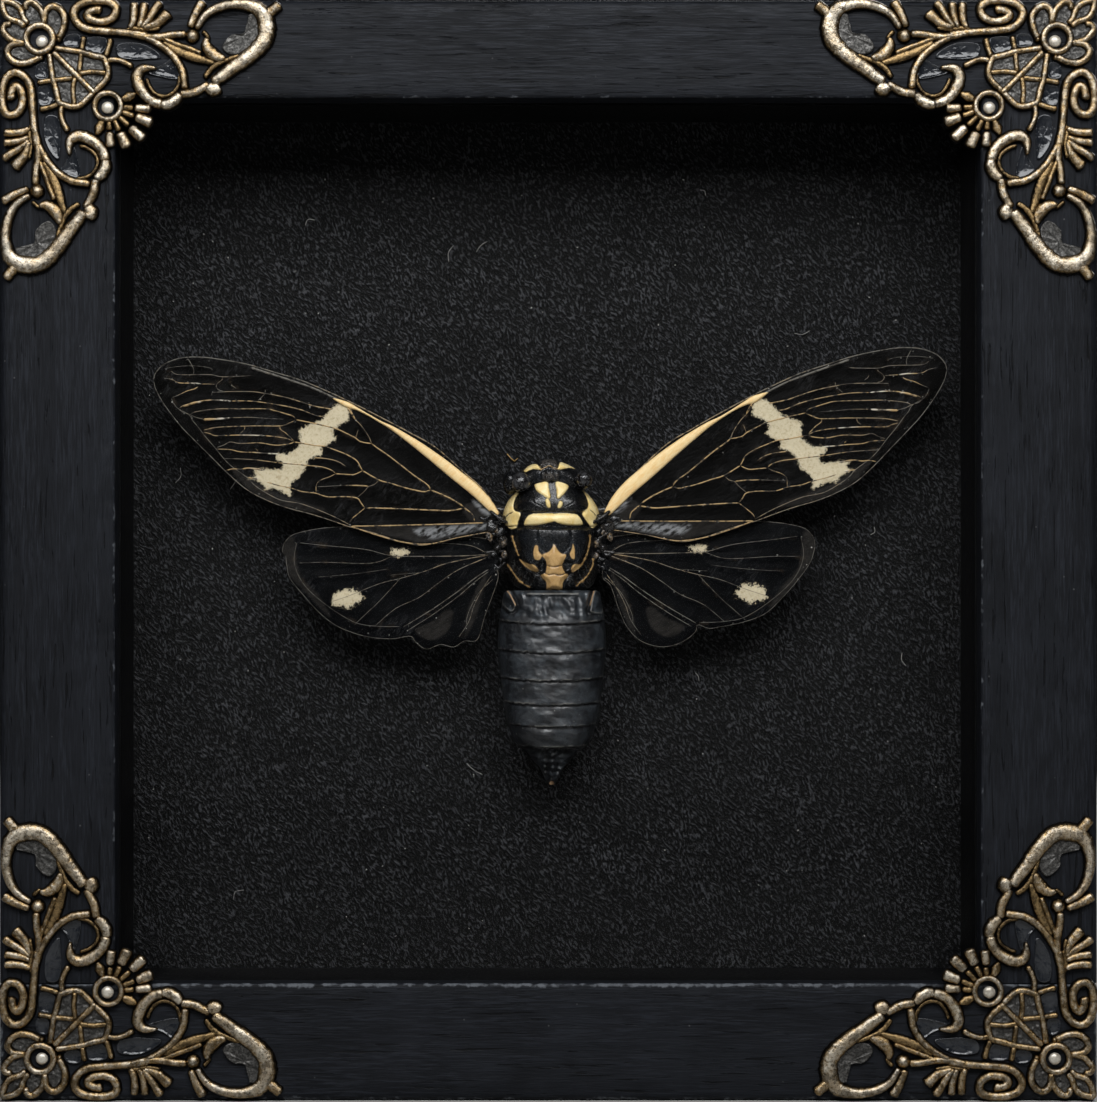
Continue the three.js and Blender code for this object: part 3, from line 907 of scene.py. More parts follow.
@dataclass(frozen=True)
class WingVein:
    """Tan-gold veins that pale to grey where the mark called tone is high."""

    gold: Triple = (0.46, 0.31, 0.145)
    grey: Triple = (0.15, 0.14, 0.12)
    dim: Triple = (0.035, 0.029, 0.022)
    yellow: Triple = (0.96, 0.73, 0.38)
    pale: Triple = (0.66, 0.60, 0.50)

    def material(self) -> Material:
        """Builds the material.

        Returns:
            The material.
        """
        made, tree, shader = new_material("wing vein")
        patch = tree.noise(1.3, 4, rough=0.6)
        streak = tree.noise(0.25, 3, tree.place((0.25, 1, 1), turn=0.75))
        tone = tree.mark("tone") + (patch - 0.5) * 0.8
        colour = tree.mix(tree.span(tone, 0.1, 0.9), self.gold, self.grey)
        colour = tree.mix(tree.span(tone, -0.1, -0.6), colour, self.pale)
        colour = tree.mix(tree.span(tree.noise(0.9, 4, rough=0.7), 0.52, 0.40), colour, self.dim)
        plump = tree.mix(tree.span(streak, 0.35, 0.7), self.yellow, (0.90, 0.60, 0.26))
        colour = tree.mix(tree.span(tree.mark("costa"), 0.3, 0.7), colour, plump)
        wear(tree, shader, Base_Color=colour, Roughness=0.42, Normal=tree.bump(patch, 0.03),
             Specular_IOR_Level=0.3)
        return made


@dataclass(frozen=True)
class Plain:
    """A small thing of one colour with a little mottling."""

    name: str
    colour: Triple
    second: Triple
    roughness: float = 0.5
    size: float = 0.8

    def material(self) -> Material:
        """Builds the material.

        Returns:
            The material.
        """
        made, tree, shader = new_material(self.name)
        patch = tree.blotch(self.size, 0.38, 0.66)
        wear(tree, shader, Base_Color=tree.mix(patch, self.colour, self.second), Roughness=self.roughness,
             Normal=tree.bump(patch, 0.03))
        return made


# The frame


@dataclass
class Layout:
    """Where the frame's main faces are, read from the CAD nodes and kept in millimetres."""

    left: float
    right: float
    top: float
    front: float
    lip: float
    board: float
    back: float
    window: tuple[float, float, float, float]

    @classmethod
    def read(cls) -> "Layout":
        """Reads the layout from the nodes' boxes.

        Returns:
            The layout.
        """
        boxes = {name: np.array(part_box(name)) / MM for name in
                 ("frame_rail_left", "frame_rail_right", "frame_rail_top", "frame_rail_bottom",
                  "glass_pane", "backing_sheet")}
        upright_left, upright_right = boxes["frame_rail_left"], boxes["frame_rail_right"]
        window = (upright_left[1][0], upright_right[0][0], boxes["frame_rail_bottom"][1][2],
                  boxes["frame_rail_top"][0][2])
        return cls(
            left=upright_left[0][0], right=upright_right[1][0], top=boxes["frame_rail_top"][1][2],
            front=boxes["frame_rail_top"][0][1], lip=boxes["glass_pane"][0][1],
            board=boxes["backing_sheet"][0][1], back=boxes["frame_rail_top"][1][1], window=window,
        )


@dataclass
class Rails:
    """The four painted rails, each an L-shaped section carried along its length, with worn edges."""

    layout: Layout
    outer_round: float = 1.1
    inner_round: float = 0.5
    rebate: float = 7.0
    step: float = 0.8
    wander: float = 0.10

    def section(self, width: float, solid: bool) -> tuple[np.ndarray, np.ndarray]:
        """The rail's section as (inwards, backwards) points, with each one's distance from a worn edge.

        Args:
            width: The rail's width across its front.
            solid: True for the full section beyond the ends of the rebate.

        Returns:
            The outline, and the distances. Corners are quarter circles, and flats have points in between.
        """
        lip = self.layout.lip - self.layout.front
        deep = self.layout.back - self.layout.front
        inner = [((width, (lip + deep) / 2), 0.15), ((width, deep), 0.3)] if solid else [
            ((width - self.rebate, lip), 0.15), ((width - self.rebate, deep), 0.3)]
        corners = [((0, 0), self.outer_round), ((width, 0), self.inner_round), ((width, lip), 0.15), *inner,
                   ((0, deep), self.outer_round)]
        outline: list[np.ndarray] = []
        for i, (corner, radius) in enumerate(corners):
            before = np.subtract(corners[i - 1][0], corner)
            after = np.subtract(corners[(i + 1) % len(corners)][0], corner)
            start = before / np.linalg.norm(before) * radius
            end = after / np.linalg.norm(after) * radius
            turn = np.linspace(0, np.pi / 2, 5)[:, None]
            arc = corner + start * (1 - np.sin(turn)) + end * (1 - np.cos(turn))
            flat = np.linspace(0, 1, 9)[1:-1, None]
            far = np.add(corner, after) - after / np.linalg.norm(after) * corners[(i + 1) % len(corners)][1]
            outline.append(np.vstack([arc, arc[-1] + (far - arc[-1]) * flat]))
        ring = np.vstack(outline)
        worn = np.array([corners[0][0], corners[1][0], corners[5][0]])
        edge = np.min(np.linalg.norm(ring[:, None] - worn[None], axis=2), axis=1)
        return ring, edge

    def rail(self, width: float, start: float, end: float, free_ends: bool,
             seed: int) -> tuple[np.ndarray, np.ndarray]:
        """Carries the section along one rail.

        Args:
            width: The rail's width.
            start: Where along the frame's side it starts.
            end: Where it ends.
            free_ends: True if its ends are on the outside, and so are rounded and without a rebate.
            seed: Picks the wander of its worn edges.

        Returns:
            Rings of (inwards, backwards, along) points, and each point's distance from a worn edge.
        """
        ring, edge = self.section(width, False)
        radius = self.outer_round if free_ends else 0.05
        near = np.concatenate([radius * (1 - np.cos(np.linspace(0, np.pi / 2, 6))), [2, 4]])
        left, right = self.layout.window[:2]
        stops = np.array([left - self.rebate, right + self.rebate])
        run = np.arange(start + 5, end - 5, self.step)
        steps = np.concatenate([stops - 0.005, stops + 0.005]) if free_ends else []
        along = np.sort(np.concatenate([start + near, run, end - near, steps]))
        distance = np.minimum(along - start, end - along)
        inset = radius - np.sqrt(np.clip(radius**2 - (radius - np.clip(distance, 0, radius)) ** 2, 0, None))
        centre = np.array([width / 2, (self.layout.back - self.layout.front) / 2])
        size = np.array([width / 2, centre[1]])
        shrink = 1 - inset[:, None, None] / size
        beyond = free_ends & ((along < stops[0]) | (along > stops[1]))
        rings = np.where(beyond[:, None, None], self.section(width, True)[0][None], ring[None])
        flat = centre + (rings - centre) * shrink
        wave = self.wander * ripple(along + 31 * seed, seed, 17.0)[:, None] * bump_at(edge, 1.2)[None]
        flat[..., 1] += np.abs(wave) * (ring[None, :, 1] < 2)
        rings = np.concatenate([flat, np.broadcast_to(along[:, None, None], (*flat.shape[:2], 1))], axis=2)
        edges = np.minimum(edge[None], distance[:, None] if free_ends else 99.0)
        return rings, np.broadcast_to(edges, flat.shape[:2])

    def build(self) -> None:
        """Builds the four rails and puts each in the place of its CAD node."""
        at = self.layout
        left, right, bottom, top = at.window
        level = PaintedWood(Grain.LEVEL).material()
        upright = PaintedWood(Grain.UPRIGHT).material()
        plans = {
            "bottom": (bottom, at.left, at.right, True),
            "top": (at.top - top, at.left, at.right, True),
            "left": (left - at.left, bottom, top, False),
            "right": (at.right - right, bottom, top, False),
        }
        for seed, (side, (width, start, end, free)) in enumerate(plans.items()):
            rings, edges = self.rail(width, start, end, free, seed)
            inwards, backwards, along = np.moveaxis(rings, 2, 0)
            y = at.front + backwards
            places = {
                "bottom": (along, y, inwards), "top": (along, y, at.top - inwards),
                "left": (at.left + inwards, y, along), "right": (at.right - inwards, y, along),
            }
            # The other rails' edge distances are pushed out by 0.3, so the bottom rail's edges are palest:
            # painted highlight where light from above catches them.
            shape = tube(np.stack(places[side], axis=2), {"edge": edges + (0.0 if side == "bottom" else 0.3)})
            shape.marks["edge"][-2:] = 6.0
            wood = level if free else upright
            node = f"frame_rail_{side}"
            make_piece(f"painted_rail_{side}", [shape], [wood], (node,))


# The corner ornaments


@dataclass(frozen=True)
class Wire:
    """A raised wire of the ornament, with a domed section."""

    points: Points
    widths: tuple[float, ...] = (1.0,)
    height: float = 1.1


@dataclass(frozen=True)
class Plate:
    """A low pitted ground between the wires."""

    outline: Points
    height: float = 0.5


@dataclass(frozen=True)
class Film:
    """A patch of clear hard glue that bridges two wires."""

    outline: Points
    height: float = 0.3


@dataclass(frozen=True)
class Bead:
    """A round knob."""

    at: Pair
    radius: float
    height: float = 1.15


class Corner(Enum):
    """The frame's corners, as (side, top): which way the ornament is mirrored."""

    TOP_LEFT = (-1, True)
    TOP_RIGHT = (1, True)
    BOTTOM_LEFT = (-1, False)
    BOTTOM_RIGHT = (1, False)


@dataclass
class Filigree:
    """One stamped corner: a flower, a heart lattice and a fan on its diagonal, and an arm by each edge."""

    layout: Layout
    corner: Corner
    tallest: float = 1.28
    flange: float = 0.15
    stoutness: float = 1.3
    ring_at: Pair = (5.8, 5.85)
    fan_at: Pair = (15.25, 15.2)

    ARM = (
        Wire([(20.9, 5.4), (18.2, 5.05), (14.2, 4.75), (12.4, 4.5), (11.2, 3.8), (10.6, 2.85), (10.6, 1.95),
              (11.4, 1.1), (12.8, 0.66), (14.2, 0.6), (15.4, 0.75), (16.2, 1.25), (16.4, 2.0), (16.0, 2.85),
              (15.0, 3.4), (13.9, 3.45), (12.8, 3.1), (12.4, 2.55), (12.9, 2.05), (13.8, 1.85), (14.5, 2.0)],
             (0.75, 0.8, 0.88, 0.88, 0.9, 0.9)),
        Wire([(18.0, 5.1), (20.2, 5.55), (22.5, 5.6), (24.2, 5.3), (26.2, 5.2)], (0.5, 0.75, 0.8, 0.75)),
        Wire([(26.6, 4.4), (27.4, 2.4), (28.5, 0.55)], (0.7, 0.9, 1.05)),
        Wire([(27.5, 4.6), (28.7, 2.7), (30.3, 1.65), (32.4, 1.1), (34.3, 1.15), (36.1, 1.75), (37.1, 3.4),
              (37.1, 5.6), (35.9, 7.3), (34.1, 8.8), (32.4, 10.0), (31.1, 11.0), (29.7, 12.0)],
             (0.5, 0.8, 1.0, 1.1, 1.5, 2.0, 1.9, 1.75, 1.6, 1.4, 1.2), 1.25),
        Wire([(28.6, 11.4), (29.4, 10.2), (30.5, 9.3), (32.2, 8.6), (33.6, 8.1)], (0.5, 0.6, 0.5, 0.3), 0.8),
        Wire([(37.2, 2.6), (38.3, 1.7), (39.2, 1.0)], (1.2, 1.1, 1.05)),
        Wire([(29.1, 5.6), (28.9, 6.6), (29.4, 7.6), (30.4, 8.35), (31.7, 8.65)], (0.3, 1.1, 1.4, 1.2, 0.4)),
        Wire([(28.3, 4.7), (28.9, 5.3), (29.4, 6.0)], (0.4, 0.35, 0.2), 0.8),
        Wire([(22.4, 5.6), (24.6, 6.5), (26.3, 7.1), (28.3, 7.9)], (0.4, 0.5, 0.45), 1.0),
        Wire([(22.8, 6.3), (25.3, 7.7), (27.9, 8.6), (30.2, 9.35)], (0.4, 1.05, 1.05, 0.4), 0.85),
        Wire([(20.4, 5.6), (22.3, 6.6), (23.9, 7.8), (24.9, 9.0), (25.6, 10.4), (25.8, 11.8), (26.0, 12.9)],
             (0.6, 0.7, 0.75, 0.8, 0.8)),
        Wire([(22.1, 10.0), (21.1, 9.9), (19.9, 10.1), (19.3, 11.2), (19.7, 12.6), (20.6, 13.9), (21.8, 14.7),
              (22.9, 14.9)], (0.15, 0.8, 1.25, 1.3, 1.2, 1.15, 1.1), 1.2),
        Wire([(22.5, 15.0), (23.6, 14.95), (24.7, 14.35), (25.4, 13.4)], (1.0, 1.25, 1.2, 0.8), 1.25),
        Wire([(20.6, 11.2), (21.0, 12.4), (21.9, 13.5), (23.2, 13.8), (24.4, 13.2), (25.1, 12.0),
              (25.2, 10.8)], (0.3, 0.35, 0.35), 0.7),
        Wire([(25.2, 13.6), (27.1, 13.3), (28.5, 12.6), (29.4, 12.1)], (0.9, 0.95, 0.8), 1.15),
        Wire([(29.0, 12.3), (29.9, 12.9), (30.8, 12.3)], (1.1, 1.7, 1.1), 1.25),
        Wire([(18.2, 4.6), (18.7, 3.6), (18.9, 2.2), (18.85, 0.7)], (0.5, 0.8, 0.85, 0.8)),
        Wire([(19.4, 4.5), (19.9, 3.4), (20.2, 2.0), (20.3, 0.7)], (0.4, 0.65, 0.8, 0.8)),
        Wire([(19.9, 4.5), (21.0, 3.1), (21.9, 1.6), (22.7, 0.7)], (0.4, 0.7, 0.85, 0.85)),
        Wire([(20.0, 4.4), (21.9, 3.8), (23.1, 2.8), (23.8, 2.1)], (0.5, 0.8, 1.15, 1.25)),
        Wire([(17.4, 4.9), (18.8, 4.4), (20.6, 4.6), (22.6, 4.35)], (0.4, 0.45, 0.3), 0.8),
        Bead((26.95, 5.45), 1.1, 1.28), Bead((8.5, 6.0), 0.5, 1.1),
        Plate([(34.8, 2.5), (34.8, 3.9), (34.5, 4.8), (33.6, 5.2), (32.6, 5.2), (31.6, 6.0), (31.1, 7.1),
               (31.9, 7.9), (33.2, 8.0), (34.8, 7.0), (36.0, 5.6), (36.3, 3.8), (35.8, 2.6)]),
        Film([(16.6, 6.6), (19.4, 6.4), (21.6, 7.3), (22.6, 8.4), (20.9, 8.6), (18.6, 8.7), (16.6, 8.2)]),
        Film([(20.7, 10.4), (22.9, 9.4), (24.2, 8.6), (25.0, 10.4), (24.9, 11.4), (22.6, 11.1)]),
    )
    PETALS = (
        Wire([(3.9, 2.0), (3.9, 1.15), (4.6, 0.75), (5.4, 1.25), (6.1, 2.1), (6.4, 3.1), (6.5, 3.9)],
             (0.62, 0.7, 0.66)),
        Wire([(6.5, 3.9), (6.5, 2.8), (6.8, 1.8), (7.65, 1.3), (8.6, 1.75), (9.2, 2.7), (9.2, 4.0),
              (8.8, 5.1), (8.35, 5.9)], (0.62, 0.72, 0.72, 0.66)),
        Plate([(4.3, 3.9), (3.9, 1.8), (4.6, 1.1), (5.4, 1.8), (6.1, 3.5)]),
        Plate([(6.9, 4.4), (6.9, 2.8), (7.8, 1.8), (8.7, 3.2), (8.7, 4.6), (8.1, 5.6)]),
    )
    TIP_PETAL = (
        Wire([(3.9, 4.3), (3.0, 3.55), (1.7, 3.1), (0.95, 2.2), (0.62, 0.9), (0.95, 0.62), (2.2, 0.95),
              (3.1, 1.7), (3.6, 3.0), (4.3, 3.9)], (0.62, 0.66, 0.66, 0.62)),
        Plate([(3.5, 4.0), (1.3, 2.4), (0.8, 0.8), (2.4, 1.3), (4.0, 3.5)]),
    )
    HEART = (
        Wire([(7.8, 7.15), (9.7, 7.4), (11.6, 7.7), (13.1, 8.15), (14.6, 8.5), (14.95, 9.1), (15.25, 10.1),
              (15.25, 11.0), (14.8, 11.8), (14.0, 12.6), (13.3, 13.3)], (0.6, 0.6, 0.66, 0.66, 0.6)),
        Wire([(11.6, 7.6), (11.45, 9.2), (11.3, 10.6)], (0.5,), 1.0),
        Wire([(11.1, 10.7), (13.0, 10.45), (15.2, 10.6)], (0.5,), 1.0),
        Wire([(12.0, 5.4), (11.8, 6.4), (11.6, 7.6)], (0.5,), 1.0),
        Wire([(15.7, 5.7), (15.4, 7.0), (14.9, 8.5)], (0.55, 0.5), 1.0),
        Wire([(15.0, 9.0), (16.1, 8.75), (17.4, 9.05), (18.8, 9.8)], (0.5, 0.55)),
        Plate([(8.4, 7.6), (11.3, 7.9), (11.1, 10.2), (10.4, 10.2)]),
        Plate([(11.8, 8.0), (14.4, 8.8), (14.9, 10.2), (11.7, 10.3)]),
        Plate([(11.7, 11.0), (14.9, 10.9), (14.2, 12.0), (13.3, 12.9)]),
        Film([(9.4, 5.4), (11.2, 5.2), (11.2, 6.9), (9.2, 6.7)]),
        Film([(12.4, 5.7), (15.0, 5.8), (14.4, 7.9), (12.2, 7.4)]),
    )
    LOBES = ((4, 6.1, 0.95), (21, 6.7, 1.2), (43, 6.9, 1.2), (65, 6.5, 1.2), (86, 5.8, 0.95))
    WEDGES = (-24, 111)
    SHIFTS = {Corner.TOP_LEFT: (-0.1, -0.3), Corner.TOP_RIGHT: (-0.05, -0.35), Corner.BOTTOM_LEFT: (0.0, 0.1),
              Corner.BOTTOM_RIGHT: (0.1, 0.1)}

    def place(self, flat: np.ndarray) -> np.ndarray:
        """Moves (along, down) points to the frame's (x, z) at this corner.

        Args:
            flat: The (along, down) points.

        Returns:
            The (x, z) points.
        """
        side, at_top = self.corner.value
        along, down = np.moveaxis(flat + np.array(self.SHIFTS[self.corner]), -1, 0)
        x = side * (self.layout.right - np.maximum(along, 0.02))
        down = np.maximum(down, 0.02)
        return np.stack([x, self.layout.top - down if at_top else down], axis=-1)

    def lift(self, flat: np.ndarray, height: float | np.ndarray) -> np.ndarray:
        """Stands (along, down) points this far in front of the frame's face.

        Args:
            flat: The (along, down) points.
            height: How far in front of the face.

        Returns:
            The points in space.
        """
        at = self.place(flat)
        y = np.broadcast_to(self.layout.front - np.asarray(height), at[..., 0].shape)
        return np.stack([at[..., 0], y, at[..., 1]], axis=-1)

    def wire(self, plan: Wire, swap: bool) -> Shape:
        """Sweeps a domed section with a low dark flange along a wire whose widths change along it.

        Args:
            plan: The wire.
            swap: True to mirror it about the corner's diagonal.

        Returns:
            The closed shape.
        """
        flat = smooth_line([p[::-1] for p in plan.points] if swap else plan.points, 0.2)
        share = np.linspace(0, 1, len(flat))
        widths = np.interp(share, np.linspace(0, 1, len(plan.widths)), plan.widths)
        ends = rounded_ends(flat, 0.4)
        wobble = 1 + 0.05 * ripple(share * len(flat) * 0.2, int(plan.points[0][0] * 10), 3.0)
        half = (widths / 2 * self.stoutness * wobble + self.flange) * ends
        return swept(self.lift(flat, 0.0), half, plan.height * ends**0.5, FLANGED)

    def plate(self, plan: Plate | Film, swap: bool) -> Shape:
        """A low ground or film with a slightly sunken and lumpy face, in rings that shrink to its middle.

        Args:
            plan: The plate or film.
            swap: True to mirror it about the corner's diagonal.

        Returns:
            The closed shape.
        """
        outline = smooth_line([p[::-1] for p in plan.outline] if swap else plan.outline, 0.3, closed=True)
        middle = outline.mean(axis=0)
        shares = np.array([1.0, 1.0, 0.93, 0.8, 0.55, 0.25])
        flat = middle + (outline - middle)[None] * shares[:, None, None]
        film = isinstance(plan, Film)
        heights = np.array([0.0, 1.0, 1.0, 0.6, 0.45, 0.4] if film else [0.0, 1.0, 0.95, 0.9, 0.88, 0.88])
        heights = heights[:, None] * plan.height
        lumps = (0.04 if film else 0.10) * rough_field(flat.reshape(-1, 2), 5, 0.9).reshape(flat.shape[:2])
        rings = self.lift(flat, heights + lumps * (heights > 0))
        return tube(rings, finish=2 if film else 1)

    def bead(self, at: Pair, radius: float, height: float, swap: bool) -> Shape:
        """A half ball: rings whose radius is the cosine and height the sine of the same angle.

        Args:
            at: Its middle.
            radius: Its radius.
            height: How high it stands.
            swap: True to mirror it about the corner's diagonal.

        Returns:
            The closed shape.
        """
        centre = np.array(at[::-1] if swap else at)
        climb = np.linspace(0, np.pi / 2 - 0.12, 6)
        flat = centre + radius * np.cos(climb)[:, None, None] * circle(16)
        return tube(self.lift(flat, np.broadcast_to((height * np.sin(climb))[:, None], flat.shape[:2])))

    def ring(self, at: Pair, outer: float, hole: float) -> Shape:
        """The raised eyelet around a nail, a ring torus with a domed section.

        Args:
            at: Its middle.
            outer: Its radius.
            hole: The radius of its hole.

        Returns:
            The closed shape.
        """
        middle, half = (outer + hole) / 2, (outer - hole) / 2
        section = np.vstack([FLANGED, [[0.0, 0.0]]])
        radius = middle + half * section[:, 0]
        flat = np.array(at) + radius[:, None, None] * circle(40)
        rings = self.lift(flat, np.broadcast_to((1.15 * section[:, 1])[:, None], flat.shape[:2]))
        rows, columns = rings.shape[:2]
        quads = grid_quads(rows + 1, columns) % (rows * columns)
        return Shape(rings.reshape(-1, 3), quads).outward()

    def lobe(self, degrees: float, reach: float, width: float) -> list[Shape]:
        """One petal of the fan: a narrow stalk, a step, and a wide club head with a round end.

        Args:
            degrees: Which way it points.
            reach: How far it reaches from the fan's middle.
            width: How wide its head is.

        Returns:
            The stalk and the head.
        """
        angle = np.radians(degrees)
        way = np.array([np.cos(angle), np.sin(angle)])
        stalk, head = ([tuple(np.array(self.fan_at) + way * r) for r in ends] for ends in
                       ((2.0, 3.0, 0.60 * reach), (0.60 * reach, 0.8 * reach, reach)))
        return [self.wire(Wire(stalk, (0.5, 0.55, 0.6), 0.95), False),
                self.wire(Wire(head, (0.75 * width, 0.95 * width, width, 1.05 * width, width), 1.25), False)]

    def wedge(self, degrees: float) -> Shape:
        """A small pointed leaf at either end of the fan.

        Args:
            degrees: Which way it points.

        Returns:
            The closed shape.
        """
        angle = np.radians(degrees)
        way = np.array([np.cos(angle), np.sin(angle)])
        line = [tuple(np.array(self.fan_at) + way * r) for r in (2.0, 3.2, 4.4)]
        return self.wire(Wire(line, (0.5, 1.1, 0.3), 1.0), False)

    def shapes(self) -> list[Shape]:
        """All the closed shapes of the ornament.

        Returns:
            The closed shapes.
        """
        made: list[Shape] = []
        for plan in (*self.ARM, *self.PETALS, *self.HEART):
            for swap in (False, True):
                if isinstance(plan, Wire):
                    made.append(self.wire(plan, swap))
                elif isinstance(plan, Bead):
                    made.append(self.bead(plan.at, plan.radius, plan.height, swap))
                else:
                    made.append(self.plate(plan, swap))
        made += [self.wire(self.TIP_PETAL[0], False), self.plate(self.TIP_PETAL[1], False)]
        made.append(self.wire(Wire([(7.6, 7.6), (10.5, 10.5), (13.6, 13.6)], (0.65, 0.6)), False))
        for lobe in self.LOBES:
            made += self.lobe(*lobe)
        made += [self.wedge(degrees) for degrees in self.WEDGES]
        made.append(self.ring(self.ring_at, 2.45, 1.32))
        made.append(self.ring(self.fan_at, 2.35, 1.36))
        return made

    def build(self, finishes: list[Material]) -> None:
        """Builds the corner in the place of its CAD node, in bronze, tarnished ground and clear glue.

        Args:
            finishes: The bronze, the tarnished ground and the glue.
        """
        name = self.corner.name.lower()
        make_piece(f"bronze_corner_{name}", self.shapes(), finishes,
                   (f"filigree_corner_{name}",))


@dataclass
class Tack:
    """A small domed nail head over a short shank, turned about its axis."""

    node: str
    dome: float = 0.25

    def build(self, steel: Material) -> None:
        """Builds the nail in the place of its CAD node, from the node's own box.

        Args:
            steel: The nail's material.
        """
        low, high = np.array(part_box(self.node)) / MM
        centre = (low + high) / 2
        radius = (high[0] - low[0]) / 2 * 1.03
        thick = 0.55
        profile = np.array([(0.35, high[1]), (0.35, low[1] + 0.8), (0.9 * radius, low[1] + 0.8),
                            (radius, low[1] + thick), (radius, low[1] + 0.4), (0.86 * radius, low[1] + 0.18),
                            (0.5 * radius, low[1] + 0.04), (0.15 * radius, low[1])])
        cosine, sine = circle(24).T
        x = centre[0] + profile[:, :1] * cosine
        z = centre[2] + profile[:, :1] * sine
        y = np.broadcast_to(profile[:, 1:], x.shape)
        make_piece(self.node.replace("nail", "tack"), [tube(np.stack([x, y, z], axis=2))], [steel],
                   (self.node,))


# The insect's body


@dataclass
class Shell:
    """A body piece: an oval section carried along the body, with relief worked into its upper side."""

    stations: Points
    axis_x: float = 0.71
    middle_y: float = 3.6
    row_step: float = 0.13
    upper: int = 190
    lower: int = 46
    boxy: float = 2.25

    def grid(self) -> tuple[np.ndarray, np.ndarray, np.ndarray]:
        """Works out the plain surface.

        Each station is (height, centre, half width, rise of the back, depth of the belly). The section is
        a superellipse: the cosine and sine of an angle, each raised to 2 over boxy.

        Returns:
            The rings of points, each point's (across, height) on the body, and how far it faces the front.
        """
        table = smooth_line(self.stations, self.row_step)
        height, centre, half, rise, belly = table.T
        angle = np.concatenate([np.linspace(0, np.pi, self.upper),
                                np.linspace(np.pi, 2 * np.pi, self.lower)[1:-1]])
        across = np.sign(np.cos(angle)) * np.abs(np.cos(angle)) ** (2 / self.boxy)
        up = np.sign(np.sin(angle)) * np.abs(np.sin(angle)) ** (2 / self.boxy)
        out = centre[:, None] + half[:, None] * across[None]
        lift = np.where(up[None] > 0, rise[:, None] * up, belly[:, None] * up)
        z = np.broadcast_to(height[:, None], out.shape)
        rings = np.stack([self.axis_x + out, self.middle_y - lift, z], axis=2)
        spot = np.stack([out, z], axis=2)
        return rings, spot, np.broadcast_to(np.clip(up, 0, 1)[None], out.shape)

    def finish(self, relief: np.ndarray, marks: Marks, board: float) -> Shape:
        """Pushes the surface out by the relief, keeps it off the board, and closes it.

        Args:
            relief: How far each point is pushed out.
            marks: Numbers for each point.
            board: The board's face, which nothing passes.

        Returns:
            The closed shape.
        """
        rings, _, facing = self.grid()
        rings[..., 1] -= relief * between(facing, 0.0, 0.35)
        rings[..., 1] = np.minimum(rings[..., 1], board)
        return tube(rings, marks)


def blob(centre: Triple, radii: Triple, seed: int, lumps: float = 0.12,
         finish: int = 0, marks: dict[str, float] | None = None) -> Shape:
    """A lumpy ball: a sphere by latitude and longitude, scaled to its radii and swollen by a rough field.

    Args:
        centre: Its middle.
        radii: Its radii along X, Y and Z.
        seed: Picks its lumps.
        lumps: How deep they are, as a share of the radii.
        finish: Which of the piece's materials it wears.
        marks: Numbers that all its points carry.

    Returns:
        The closed shape.
    """
    climb = np.linspace(-np.pi / 2 + 0.1, np.pi / 2 - 0.1, 18)
    cosine, sine = circle(28).T
    unit = np.stack([np.cos(climb)[:, None] * cosine, np.cos(climb)[:, None] * sine,
                     np.broadcast_to(np.sin(climb)[:, None], (18, 28))], axis=2)
    swell = 1 + lumps * rough_field(unit.reshape(-1, 3), seed, 1.6).reshape(18, 28)
    rings = np.array(centre) + unit * np.array(radii) * swell[..., None]
    return tube(rings, {name: np.full((18, 28), value) for name, value in (marks or {}).items()}, finish)


